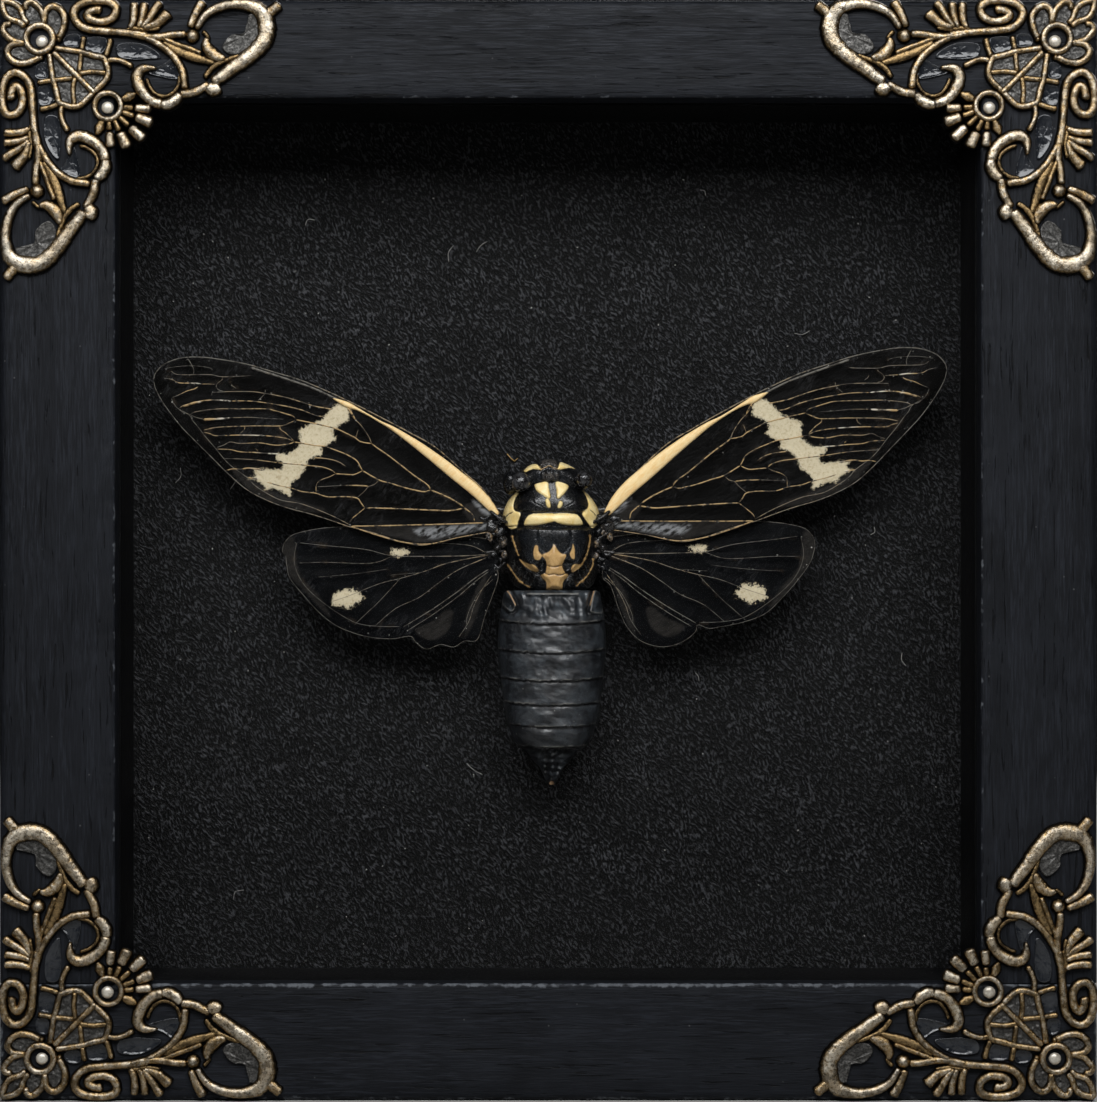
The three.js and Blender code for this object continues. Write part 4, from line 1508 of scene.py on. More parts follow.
@dataclass
class Cicada:
    """The insect's head, thorax and abdomen, with its wing roots and folded legs."""

    board: float
    axis_x: float = 0.71

    HEAD = [(84.6, -0.2, 4.6, 3.0, 4.5), (85.6, -0.3, 5.0, 4.0, 4.6), (86.6, -0.35, 5.0, 4.6, 4.6),
            (87.6, -0.4, 4.6, 4.7, 4.4), (88.3, -0.45, 3.9, 4.5, 4.0), (88.9, -0.5, 3.0, 4.2, 3.6),
            (89.4, -0.55, 1.9, 3.6, 3.0), (89.75, -0.55, 0.7, 2.6, 2.2)]
    THORAX = [(71.0, 0.1, 3.6, 3.6, 4.6), (71.6, 0.1, 5.4, 4.4, 5.4), (73.5, 0.0, 6.4, 5.0, 5.8),
              (76.0, 0.0, 6.6, 5.5, 6.0), (78.6, 0.0, 6.5, 5.7, 6.0), (80.2, -0.2, 6.8, 5.5, 6.0),
              (82.0, -0.2, 6.9, 5.5, 6.0), (83.6, -0.25, 6.3, 5.4, 5.8), (85.0, -0.3, 5.2, 5.0, 5.4),
              (86.0, -0.3, 3.9, 4.7, 5.0), (86.5, -0.3, 2.6, 4.5, 4.6)]
    ABDOMEN = [(43.2, -0.15, 0.35, 0.4, 0.4), (43.7, -0.15, 0.8, 0.8, 0.8), (45.4, -0.15, 1.55, 1.7, 1.7),
               (46.6, -0.15, 2.6, 2.6, 2.6), (48.1, -0.1, 3.75, 3.7, 3.8), (48.45, -0.1, 4.5, 4.3, 4.4),
               (50.0, -0.1, 5.7, 5.2, 5.4), (52.7, -0.1, 6.5, 5.8, 6.4), (55.8, -0.1, 7.0, 6.2, 6.6),
               (60.0, -0.1, 7.5, 6.5, 6.8), (63.1, -0.1, 7.75, 6.6, 6.9), (66.2, -0.1, 7.6, 6.5, 6.8),
               (69.0, -0.1, 7.2, 6.1, 6.6), (70.6, -0.1, 6.9, 5.4, 6.0), (71.0, -0.1, 6.4, 4.8, 5.4)]
    SEAMS = (48.65, 51.58, 54.70, 58.11, 62.09, 66.21)
    YELLOW = (
        [(-2.45, 86.12), (-1.73, 86.34), (-0.88, 86.41), (-0.63, 85.19), (-0.54, 84.13), (-1.56, 84.76),
         (-2.24, 85.27)],
        [(0.52, 86.41), (1.51, 86.41), (2.05, 85.95), (2.02, 85.53), (1.51, 84.84), (0.74, 84.13),
         (0.65, 85.19)],
        [(-0.95, 83.82), (-0.68, 83.82), (-0.46, 83.14), (-0.54, 82.76), (-0.80, 83.05)],
        [(0.99, 83.57), (1.25, 83.48), (1.16, 82.97), (0.82, 82.76), (0.79, 83.05)],
        [(-4.97, 85.27), (-5.99, 84.76), (-6.9, 83.65), (-7.3, 82.12), (-7.3, 81.35), (-6.25, 80.04),
         (-5.31, 79.99), (-4.97, 81.09), (-4.72, 81.91), (-5.40, 82.20), (-5.74, 82.88), (-5.48, 84.16),
         (-4.80, 85.01)],
        [(4.23, 85.44), (5.08, 85.10), (5.9, 83.99), (6.5, 82.80), (6.9, 81.95), (6.9, 81.26), (5.77, 80.04),
         (5.17, 80.58), (4.32, 81.86), (5.00, 82.63), (5.17, 83.31), (4.83, 84.50)],
        [(-3.98, 80.46), (-3.61, 81.26), (-2.93, 81.74), (-1.56, 81.78), (0.14, 81.74), (0.18, 80.96),
         (-0.71, 80.67), (-2.24, 80.33), (-3.78, 80.29)],
        [(0.14, 81.74), (1.85, 81.81), (3.21, 81.69), (3.81, 81.18), (4.10, 80.41), (2.87, 80.33),
         (1.33, 80.50), (0.18, 80.96)],
    )
    TAN = (
        [(-2.50, 77.34), (-2.16, 77.26), (-1.99, 76.49), (-1.56, 75.90), (-1.99, 75.30), (-2.59, 75.47),
         (-2.76, 76.49)],
        [(2.83, 77.60), (3.07, 76.66), (3.04, 75.50), (2.66, 75.55), (2.39, 76.15), (2.70, 76.83)],
        [(0.14, 77.60), (0.52, 76.92), (1.08, 76.24), (1.88, 76.01), (1.59, 75.30), (1.30, 74.45),
         (1.68, 73.51), (2.19, 73.12), (1.42, 72.15), (1.30, 70.95), (0.14, 71.17), (-0.97, 70.90),
         (-0.88, 72.06), (-1.73, 73.08), (-1.09, 73.46), (-0.88, 74.36), (-1.05, 75.30), (-1.51, 75.98),
         (-0.63, 76.41), (-0.11, 77.00)],
        [(-4.77, 75.47), (-4.29, 74.79), (-3.27, 73.94), (-2.50, 73.63), (-2.04, 73.76), (-2.59, 74.53),
         (-3.27, 74.70), (-4.12, 75.04)],
        [(2.70, 74.45), (3.38, 74.70), (4.06, 74.53), (3.38, 73.85), (2.70, 73.59)],
    )
    TAN_LINES = (
        [(-5.82, 78.71), (-5.57, 77.86), (-5.23, 76.83), (-4.89, 75.98)],
        [(-6.85, 75.13), (-6.17, 74.28), (-5.57, 73.42), (-4.63, 72.23), (-3.35, 71.46)],
        [(5.29, 78.88), (5.26, 77.86), (4.83, 76.15), (4.06, 74.62), (3.04, 73.68)],
        [(5.80, 75.47), (5.60, 74.28), (4.74, 72.91), (3.38, 71.63)],
    )
    SHIELD = [(-5.1, 79.95), (0.14, 80.1), (5.3, 79.95), (5.3, 78.3), (4.9, 76.2), (4.1, 74.6), (2.9, 73.6),
              (2.3, 73.1), (1.6, 70.8), (-1.2, 70.8), (-1.9, 73.1), (-2.9, 73.7), (-4.4, 75.2), (-5.1, 77.0)]
    LOBE_LINES = (
        [(-2.24, 79.82), (-2.38, 78.71), (-1.90, 77.34), (-1.22, 76.49)],
        [(2.53, 79.82), (2.70, 78.71), (2.36, 77.34), (1.68, 76.49)],
        [(0.14, 79.82), (0.14, 77.60)],
    )
    COLLAR_LINES = (
        [(-6.93, 81.26), (-6.34, 81.86), (-5.74, 82.12)],
        [(5.34, 82.42), (5.77, 82.12), (6.11, 81.74)],
    )
    PITS = (
        [(-2.24, 74.79), (-1.56, 75.30), (-1.05, 75.13), (-0.88, 74.45), (-1.22, 73.51), (-1.73, 73.42)],
        [(1.51, 75.21), (2.36, 75.30), (3.04, 74.96), (2.70, 73.94), (1.85, 73.51), (1.30, 74.45)],
    )
    COLLAR_PLATES = (
        [(-3.27, 85.19), (-4.7, 84.6), (-5.3, 83.65), (-5.3, 82.63), (-3.78, 81.98), (-0.95, 81.98),
         (-1.2, 82.9), (-2.5, 83.6), (-2.7, 84.5)],
        [(3.45, 85.19), (4.5, 84.6), (5.1, 83.65), (5.1, 82.63), (4.0, 81.98), (1.25, 81.98), (1.5, 82.9),
         (2.7, 83.6), (2.9, 84.5)],
    )
    REAR_PLATES = (
        [(-2.93, 73.25), (-1.99, 73.25), (-1.31, 72.06), (-1.14, 70.87), (-2.5, 70.83), (-2.93, 71.89)],
        [(3.21, 73.08), (2.36, 73.08), (1.68, 72.06), (1.42, 70.87), (2.87, 70.83), (3.21, 71.89)],
    )
    TREE_SEAMS = (
        [(-0.88, 74.53), (0.14, 74.28), (1.25, 74.53)],
        [(-1.22, 73.51), (-0.54, 73.17), (0.14, 73.29), (0.99, 73.12), (1.85, 73.42)],
    )
    FLAPS = (
        [(-7.5, 71.3), (-6.17, 71.21), (-5.6, 70.0), (-5.14, 68.74), (-5.91, 67.8), (-7.4, 69.16)],
        [(5.26, 67.8), (5.3, 68.7), (5.43, 69.67), (5.94, 71.12), (7.3, 70.9), (7.3, 67.8)],
    )
    FLAP_LINES = (
        [(-7.1, 71.6), (-6.3, 70.7), (-5.7, 69.7), (-5.3, 68.9)],
        [(6.1, 71.5), (5.75, 70.5), (5.5, 69.6), (5.3, 68.9)],
    )
    TAIL_PITS = (
        [(-2.6, 48.3), (-0.7, 48.3), (-0.9, 47.6), (-2.0, 47.7)],
        [(0.9, 48.3), (2.2, 48.3), (2.0, 47.7), (1.0, 47.6)],
        [(-1.1, 46.6), (-0.7, 46.8), (-0.6, 45.2), (-0.9, 45.0)],
        [(0.5, 46.4), (0.9, 46.5), (0.8, 45.6), (0.5, 45.6)],
    )
    HEAD_YELLOW = (
        [(-4.12, 88.05), (-3.61, 88.68), (-2.93, 89.02), (-2.24, 88.93), (-1.73, 88.25), (-2.93, 88.29),
         (-3.78, 87.95)],
        [(0.74, 88.25), (1.08, 89.28), (1.85, 89.19), (2.70, 88.85), (3.21, 88.42), (2.36, 88.51),
         (1.51, 88.34)],
    )
    BROW = [(-1.75, 88.15), (-1.1, 88.5), (-0.5, 88.72), (0.1, 88.4), (0.7, 88.3)]
    FACE = [(-2.07, 89.02), (-1.56, 89.9), (-0.54, 90.1), (0.48, 89.9), (0.82, 88.93), (0.48, 88.34),
            (-0.71, 88.68), (-1.73, 88.39)]
    VERTEX = [(-1.56, 88.0), (0.99, 88.0), (0.91, 86.5), (-1.56, 86.5)]
    EYES = ((-4.55, 86.35, 1.42), (4.45, 86.75, 1.25))
    EYE_Y = -0.85
    COLLAR_SEAM = 80.12
    LEGS = (
        [(4.5, 7.2, 82.5), (8.2, 7.0, 82.8), (11.0, 8.4, 84.0), (12.4, 9.2, 86.2)],
        [(5.0, 7.4, 79.5), (9.4, 6.6, 79.0), (13.2, 8.2, 78.0), (15.0, 9.2, 75.5)],
        [(4.6, 7.4, 74.5), (9.4, 6.6, 73.6), (11.6, 8.2, 71.0), (12.4, 9.2, 67.4)],
    )

    @staticmethod
    def depth(spot: np.ndarray, outlines: tuple[Points, ...]) -> np.ndarray:
        """depth_in_any over a grid of spots."""
        return depth_in_any(spot.reshape(-1, 2), list(outlines)).reshape(spot.shape[:2])

    @staticmethod
    def near(spot: np.ndarray, lines: tuple[Points, ...]) -> np.ndarray:
        """The distance to the nearest of several lines over a grid of spots.

        Args:
            spot: Points on the body as (across, height).
            lines: The lines.

        Returns:
            One distance for each point.
        """
        flat = spot.reshape(-1, 2)
        nearest = np.min([line_distance(flat, smooth_line(line, 0.2)) for line in lines], axis=0)
        return nearest.reshape(spot.shape[:2])

    def head(self) -> list[Shape]:
        """The head: a wide low wedge with a ridged face in front, black plates and two round eyes.

        Returns:
            The closed shapes.
        """
        shell = Shell(self.HEAD, self.axis_x, row_step=0.08, upper=150)
        _, spot, facing = shell.grid()
        face = self.depth(spot, (self.FACE,))
        vertex = self.depth(spot, (self.VERTEX,))
        yellow = self.depth(spot, self.HEAD_YELLOW)
        brow = self.near(spot, (self.BROW,))
        ridges = np.abs(np.sin((spot[..., 0] + 0.5) * 4.2)) * between(np.maximum(face, vertex), 0, 0.4)
        relief = 0.35 * between(face, -0.1, 0.6) + 0.30 * between(yellow, -0.1, 0.3) + 0.22 * ridges
        relief += 0.15 * bump_at(brow, 0.15)
        relief += 0.35 * bump_at(spot[..., 0] + 0.4, 0.7) * between(vertex, -0.2, 0.4)
        relief += 0.5 * between(np.abs(spot[..., 0] + 0.4), 2.2, 4.4) * bump_at(spot[..., 1] - 86.6, 1.6)
        visible = facing > 0.02
        marks = {
            "yellow": np.where(visible, yellow, ABSENT),
            "tan": np.where(visible, 0.06 - brow, ABSENT),
            "drab": np.where(visible, np.maximum(face - 0.25, vertex - 0.5), ABSENT),
            # The face and crown take the blue bloom, partly painted sheen.
            "bloom": np.where(visible, np.maximum(face, vertex) + 0.5, 0.0),
            "groove": 0.05 - np.abs(face),
        }
        made = [shell.finish(relief, marks, self.board)]
        for i, (across, height, radius) in enumerate(self.EYES):
            centre = (self.axis_x + across, self.EYE_Y, height)
            made.append(blob(centre, (radius, radius * 1.05, radius), 3 + i, 0.01, 1))
            collar = (self.axis_x + across * 0.93, 0.9, height - 0.1)
            made.append(blob(collar, (radius * 1.08, radius * 1.1, radius * 1.08), 5 + i, 0.03,
                             # The collar round each eye takes some blue bloom, partly painted sheen.
                             marks={"drab": -0.4, "bloom": 0.3}))
        for across in (-0.85, -0.35, 0.2):
            simple_eye = (self.axis_x + across, -1.35, 87.2 + 0.2 * np.cos(5 * across))
            made.append(blob(simple_eye, (0.2, 0.2, 0.2), 8, 0.02, 1))
        patch = (self.axis_x - 6.0, 1.4, 86.4)
        made.append(blob(patch, (1.2, 1.2, 1.6), 11, 0.1, marks={"bloom": -2.0}))
        return made

    def thorax(self) -> list[Shape]:
        """The thorax: collar lobes with yellow marks, a raised shield with a tan cross, roots and legs.

        Returns:
            The closed shapes.
        """
        shell = Shell(self.THORAX, self.axis_x, row_step=0.11)
        _, spot, facing = shell.grid()
        out, z = spot[..., 0], spot[..., 1]
        yellow = self.depth(spot, self.YELLOW) + 0.10
        tan = self.depth(spot, self.TAN)
        lines = self.near(spot, self.TAN_LINES)
        shield = self.depth(spot, (self.SHIELD,))
        pits = self.depth(spot, self.PITS)
        lobes = self.near(spot, self.LOBE_LINES)
        cuts = self.near(spot, self.COLLAR_LINES)
        seams = self.near(spot, self.TREE_SEAMS)
        collar = between(z, 80.05, 80.25)
        band = bump_at(z - 81.0 - 0.1 * np.abs(out) / 4, 0.7) * between(5.2 - np.abs(out), 0, 1.2)
        trough = bump_at(z - 82.05, 0.22) * between(5.0 - np.abs(out), 0, 0.6)
        swell = bump_at(np.hypot((np.abs(out) - 3.1) / 1.7, (z - 83.5) / 1.25), 1.0)
        relief = 0.45 * band - 0.22 * trough + 0.45 * swell * collar
        relief += 0.28 * between(yellow, -0.1, 0.25) * (1 - 0.6 * bump_at(z - 81.0, 0.8))
        relief += 0.30 * between(self.depth(spot, self.COLLAR_PLATES), -0.05, 0.35)
        relief += 0.40 * between(self.depth(spot, self.REAR_PLATES), -0.05, 0.25)
        relief += (1 - collar) * (0.85 * between(shield, -0.05, 0.7) - 0.12 * bump_at(lobes, 0.25))
        relief += 0.42 * between(tan, 0, 0.6) * bump_at(out, 2.2) - 0.60 * between(pits, -0.1, 0.5)
        folds = between(-shield, 0.3, 0.9) * (1 - collar)
        relief += folds * (0.28 * np.sin((np.abs(out) + 0.45 * (z - 72)) * 4.6) - 0.35)
        relief += 0.25 * bump_at(lines, 0.22) - 0.16 * bump_at(seams, 0.14) - 0.12 * bump_at(cuts, 0.1)
        relief -= 0.30 * bump_at(z - self.COLLAR_SEAM, 0.12)
        visible = facing > 0.05
        groove = np.maximum(0.07 - cuts, 0.06 - seams)
        groove = np.maximum(groove, 0.05 - np.abs(z - self.COLLAR_SEAM))
        sides = np.minimum(-shield - 0.5, 79.6 - z)
        marks = {
            "yellow": np.where(visible, yellow, ABSENT),
            "tan": np.where(visible, np.maximum(tan, 0.10 + 0.05 * ripple(z, 2, 3.0) - lines), ABSENT),
            "drab": np.where(visible, np.minimum(sides, 0.6) - 0.78, -0.3),
            # The shield's middle takes the most blue bloom, fading to the sides: painted sheen.
            "bloom": np.minimum(shield, 1.5) - 0.9 * np.abs(out) / 4,
            "groove": np.where(visible, groove, ABSENT),
        }
        made = [shell.finish(relief, marks, self.board)]
        for side in (-1, 1):
            made += self.wing_roots(side)
            made += [self.leg(path, side) for path in self.LEGS]
        return made

    def wing_roots(self, side: int) -> list[Shape]:
        """The knobbly plates and hinge straps between the thorax and the wings.

        Args:
            side: -1 for the left, 1 for the right.

        Returns:
            The closed shapes.
        """
        knobs = [((7.2, 1.4, 81.2), (0.9, 0.8, 0.8), 0.1), ((8.2, 1.6, 80.2), (1.1, 0.7, 0.8), 0.5),
                 ((7.1, 1.9, 79.4), (1.0, 0.9, 0.9), 0.3), ((6.7, 2.0, 78.0), (0.7, 0.8, 0.9), 0.6),
                 ((7.4, 2.6, 77.1), (0.8, 0.8, 0.7), 0.5), ((8.2, 2.8, 76.2), (0.9, 0.6, 0.6), 0.4),
                 ((7.2, 3.0, 75.4), (0.8, 0.9, 0.7), 0.2), ((9.4, 1.9, 81.3), (1.0, 0.5, 0.5), 0.1),
                 ((7.7, 3.2, 74.2), (0.7, 0.8, 0.7), 0.3)]
        made = []
        for i, ((out, y, z), radii, drab) in enumerate(knobs):
            centre = (self.axis_x - 0.4 + side * out, y, z)
            made.append(blob(centre, radii, 20 + i + side, 0.22, marks={"drab": drab - 0.62, "bloom": -0.5}))
        hooks = [(6.6, 1.2, 77.7), (7.6, 1.3, 79.4), (6.5, 1.7, 76.1), (8.6, 1.4, 78.6)]
        for i, (out, y, z) in enumerate(hooks):
            centre = (self.axis_x - 0.4 + side * out, y, z)
            made.append(blob(centre, (0.36, 0.3, 0.5), 40 + i + side, 0.45,
                             marks={"drab": 0.4, "tan": -0.06}))
        straps = [[(6.0, 0.6, 80.6), (7.4, 0.3, 81.4), (8.6, 0.9, 82.4)],
                  [(6.1, 1.4, 77.6), (7.2, 1.6, 78.6), (9.0, 1.6, 79.6)],
                  [(6.2, 2.0, 76.6), (7.6, 2.4, 76.6), (9.4, 2.5, 76.4)],
                  [(6.3, 2.6, 75.2), (7.4, 2.8, 74.2), (8.4, 2.9, 73.2)]]
        for line in straps:
            path = smooth_line([(self.axis_x - 0.4 + side * out, y, z) for out, y, z in line], 0.2)
            width = 0.26 * rounded_ends(path, 0.4)
            marks = {"drab": np.full(len(path), -0.1), "bloom": np.full(len(path), -0.5)}
            made.append(swept(path, width, width, ROUND, marks=marks))
        return made

    def leg(self, line: Points, side: int) -> Shape:
        """A folded leg under the wings, thick at the thigh and thin at the foot.

        Args:
            line: The leg's (out, y, height) points.
            side: -1 for the left, 1 for the right.

        Returns:
            The closed shape.
        """
        path = smooth_line([(self.axis_x + side * out, y, z) for out, y, z in line], 0.35)
        width = np.interp(np.linspace(0, 1, len(path)), [0, 0.35, 0.45, 1], [0.75, 0.6, 0.42, 0.22])
        width = width * rounded_ends(path, 0.4)
        marks = {"drab": np.full(len(path), 0.1), "bloom": np.full(len(path), -0.5)}
        return swept(path, width, width, ROUND, marks=marks)

    def abdomen(self) -> list[Shape]:
        """The abdomen: each segment swells to a rear edge that laps over the next, and ends in a cone.

        Returns:
            The closed shapes.
        """
        shell = Shell(self.ABDOMEN, self.axis_x, row_step=0.15, upper=180, boxy=2.15)
        _, spot, _ = shell.grid()
        out, z = spot[..., 0], spot[..., 1]
        bend = 0.55 * (out / 7.5) ** 2
        wave = 0.05 * ripple(out, 4, 5.0)
        seams = np.array(self.SEAMS)[:, None, None] + bend + wave
        above = z[None] - seams
        rear = np.where(above >= 0, above, np.inf).min(axis=0)
        front = np.where(above < 0, -above, np.inf).min(axis=0)
        relief = 0.34 * np.exp(-rear / 0.9) - 0.42 * np.exp(-front / 0.28)
        flat = np.stack([out.ravel(), z.ravel()], axis=1)
        flaps = self.depth(spot, self.FLAPS)
        relief += 0.55 * between(flaps, 0.0, 0.25) - 0.9 * bump_at(flaps + 0.22, 0.2) * between(z, 67.2, 68.6)
        collar = bump_at(z - 70.45, 0.22) * between(4.0 - np.abs(out), 0, 0.5)
        relief += 0.35 * collar + 0.22 * rough_field(flat, 8, 1.7).reshape(out.shape) * between(z, 66.5, 68.0)
        tail = between(48.6 - z, 0, 0.4)
        cone = 0.30 * rough_field(flat, 14, 1.3).reshape(out.shape) + 0.35 * bump_at(out + 0.15, 0.35)
        relief += tail * (cone - 0.25 * bump_at(np.abs(out + 0.15) - 0.75, 0.25))
        hump = 0.11 * rough_field(flat, 6, 3.1) + 0.03 * rough_field(flat, 7, 1.1)
        relief += hump.reshape(out.shape) * between(z, 46, 50)
        # Where the tail's pits and the flap gaps get their painted shade.
        pit = np.max([depth_inside(flat, o).reshape(out.shape) for o in self.TAIL_PITS], axis=0)
        tip = 0.35 - np.hypot(out + 0.15, (z - 43.3) * 0.8)
        ledge = 0.13 - np.abs(z - 70.5) - between(np.abs(out), 3.6, 4.2)
        marks = {
            "seam": np.where(rear < front, rear, -front),
            "pit": np.maximum(pit, (0.16 - np.abs(flaps + 0.2)) * (z > 67.4)),
            "tan": np.maximum(tip, 0.09 - self.near(spot, self.FLAP_LINES)),
            "edge": np.maximum(ledge, 0.1 - np.abs(flaps - 0.25)),
            "middle": np.abs(out + 0.1 + 0.25 * ripple(z, 9, 6.0)),
        }
        return [shell.finish(relief, marks, self.board)]

    def build(self) -> None:
        """Builds the three body pieces in the places of their CAD nodes."""
        shell = InsectShell().material()
        # The eye's paler grey blotches are painted reflection on its glossy black.
        eye = Plain("insect eye", (0.006, 0.005, 0.005), (0.045, 0.045, 0.048), 0.12, 1.0).material()
        slate = AbdomenShell().material()
        make_piece("insect_head", self.head(), [shell, eye], ("cicada_head",))
        make_piece("insect_thorax", self.thorax(), [shell], ("cicada_thorax",))
        make_piece("insect_abdomen", self.abdomen(), [slate], ("cicada_abdomen",))


# The wings


@dataclass(frozen=True)
class Vein:
    """A vein as (out, height) points, its width at both ends, and its tone from 0, gold, to 1, grey."""

    points: Points
    widths: Pair = (0.28, 0.22)
    tone: Pair = (0.2, 0.5)


@dataclass
class Wing:
    """A wing: a thin pleated sheet between its two edges, with raised veins and pale marks."""

    node: str
    side: int
    depth: float
    leading: Points
    trailing: Points
    veins: tuple[Vein, ...]
    pale: tuple[Points, ...]
    clear: tuple[Points, ...] = ()
    silver: tuple[Points, ...] = ()
    costa: tuple[Triple, ...] = ()
    tone: WingTone = WingTone.SMOKE
    droop: float = 0.0
    axis_x: float = 0.1
    hinge: float = 80.0
    rows: int = 230
    columns: int = 84
    thickness: float = 0.10
    vein_scale: float = 0.55

    def surface(self, flat: np.ndarray) -> np.ndarray:
        """How far forward the wing's middle sheet bows at (out, height) points, in millimetres.

        Args:
            flat: The (out, height) points.

        Returns:
            One distance for each point.
        """
        out, height = flat[..., 0], flat[..., 1]
        bow = 0.45 * np.sin(np.clip(out / 57, 0, 1) * np.pi)
        lumps = 0.10 * rough_field(flat.reshape(-1, 2), 3 + self.side, 9.0).reshape(out.shape)
        return bow + lumps + 0.012 * (height - self.hinge) * np.clip(1 - out / 40, 0, 1)

    def stand(self, flat: np.ndarray, forward: np.ndarray | float) -> np.ndarray:
        """Moves (out, height) points to the frame's axes, turned by the wing's droop about its hinge.

        Args:
            flat: The (out, height) points.
            forward: How far in front of the sheet.

        Returns:
            The points in space.
        """
        out, rise = flat[..., 0], flat[..., 1] - self.hinge
        x = self.axis_x + self.side * (out * np.cos(self.droop) + rise * np.sin(self.droop))
        z = self.hinge + rise * np.cos(self.droop) - out * np.sin(self.droop)
        return np.stack([x, self.depth - self.surface(flat) - forward, z], axis=-1)

    def membrane(self) -> Shape:
        """The sheet: straight rules from its leading edge to its trailing edge, run round both faces.

        Returns:
            The closed shape.
        """
        edges = []
        for line in (self.leading, self.trailing):
            dense = smooth_line(line, 0.1)
            share = 0.5 - 0.5 * np.cos(np.linspace(0.12, np.pi, self.rows))
            share = 0.65 * np.linspace(0, 1, self.rows) + 0.35 * (share - share[0]) / (1 - share[0])
            at = share * (len(dense) - 1)
            edges.append(np.stack([np.interp(at, np.arange(len(dense)), c) for c in dense.T], axis=1))
        across = np.linspace(0, 1, self.columns)[None, :, None]
        flat = edges[0][:, None] * (1 - across) + edges[1][:, None] * across
        spots = flat.reshape(-1, 2)
        veins = [smooth_line(v.points, 0.5) for v in self.veins]
        near = np.min([line_distance(spots, v) for v in veins], axis=0).reshape(flat.shape[:2])
        pucker = 0.06 * between(near, 0.0, 1.2)
        rim = np.minimum(np.linspace(0, 1, self.columns), np.linspace(1, 0, self.columns))[None]
        half = self.thickness / 2 * np.sqrt(np.clip(rim * 30, 0.05, 1)) * np.ones(flat.shape[:2])
        front = self.stand(flat, half - pucker)
        back = self.stand(flat, -half - pucker)
        rings = np.concatenate([front, back[:, ::-1]], axis=1)
        outline = smooth_line(list(self.leading) + list(self.trailing)[::-1], 0.5)
        marks = {"pale": depth_in_any(spots, list(self.pale)), "vein": near.ravel(),
                 "clear": depth_in_any(spots, list(self.clear)), "rim": line_distance(spots, outline),
                 "silver": np.full(len(spots), ABSENT)}
        if self.silver:
            marks["silver"] = depth_in_any(spots, list(self.silver))
        spread = {}
        for name, values in marks.items():
            sheet = values.reshape(flat.shape[:2])
            spread[name] = np.concatenate([sheet, sheet[:, ::-1]], axis=1)
        return tube(rings, spread)

    def vein(self, plan: Vein) -> Shape:
        """A round vein half sunk in the sheet.

        Args:
            plan: The vein.

        Returns:
            The closed shape.
        """
        flat = smooth_line(plan.points, 0.3)
        share = np.linspace(0, 1, len(flat))
        width = np.interp(share, [0, 1], plan.widths) * self.vein_scale / 2
        width = width * rounded_ends(flat, 0.25) * (1 + 0.12 * ripple(flat[:, 0], 5, 2.3))
        tone = np.interp(share, [0, 1], plan.tone)
        marks = {"tone": tone, "costa": np.zeros(len(flat))}
        return swept(self.stand(flat, 0.03), width, width * 1.25, ROUND, 1, marks)

    def margins(self) -> list[Shape]:
        """The veins that edge the wing, thicker in front than behind.

        Returns:
            The closed shapes.
        """
        made = []
        fore = self.tone is WingTone.SMOKE
        for line, widths in ((self.leading, (0.36, 0.26) if fore else (0.22, 0.14)),
                             (self.trailing, (0.24, 0.2) if fore else (0.14, 0.12))):
            made.append(self.vein(Vein(line, widths, (0.35 if fore else 0.8, 1.0))))
        return made

    def costal_cell(self) -> list[Shape]:
        """The plump yellow cell along the leading edge: (out, height, width) stations of a domed ribbon.

        Returns:
            The closed shapes, or none.
        """
        if not self.costa:
            return []
        table = smooth_line(self.costa, 0.3)
        flat = table[:, :2]
        ends = rounded_ends(flat, 0.6)
        marks = {"tone": np.zeros(len(flat)), "costa": np.ones(len(flat))}
        section = np.vstack([DOMED * [1, 0.5], [[0, -0.25]]])
        return [swept(self.stand(flat, 0.02), table[:, 2] / 2 * ends, 0.9 * ends, section, 1, marks)]

    def build(self, vein: Material, sheets: dict[WingTone, Material]) -> None:
        """Builds the wing in the place of its CAD node."""
        shapes = [self.membrane(), *(self.vein(v) for v in self.veins), *self.margins(), *self.costal_cell()]
        make_piece(f"veined_{self.node}", shapes, [sheets[self.tone], vein], (self.node,))


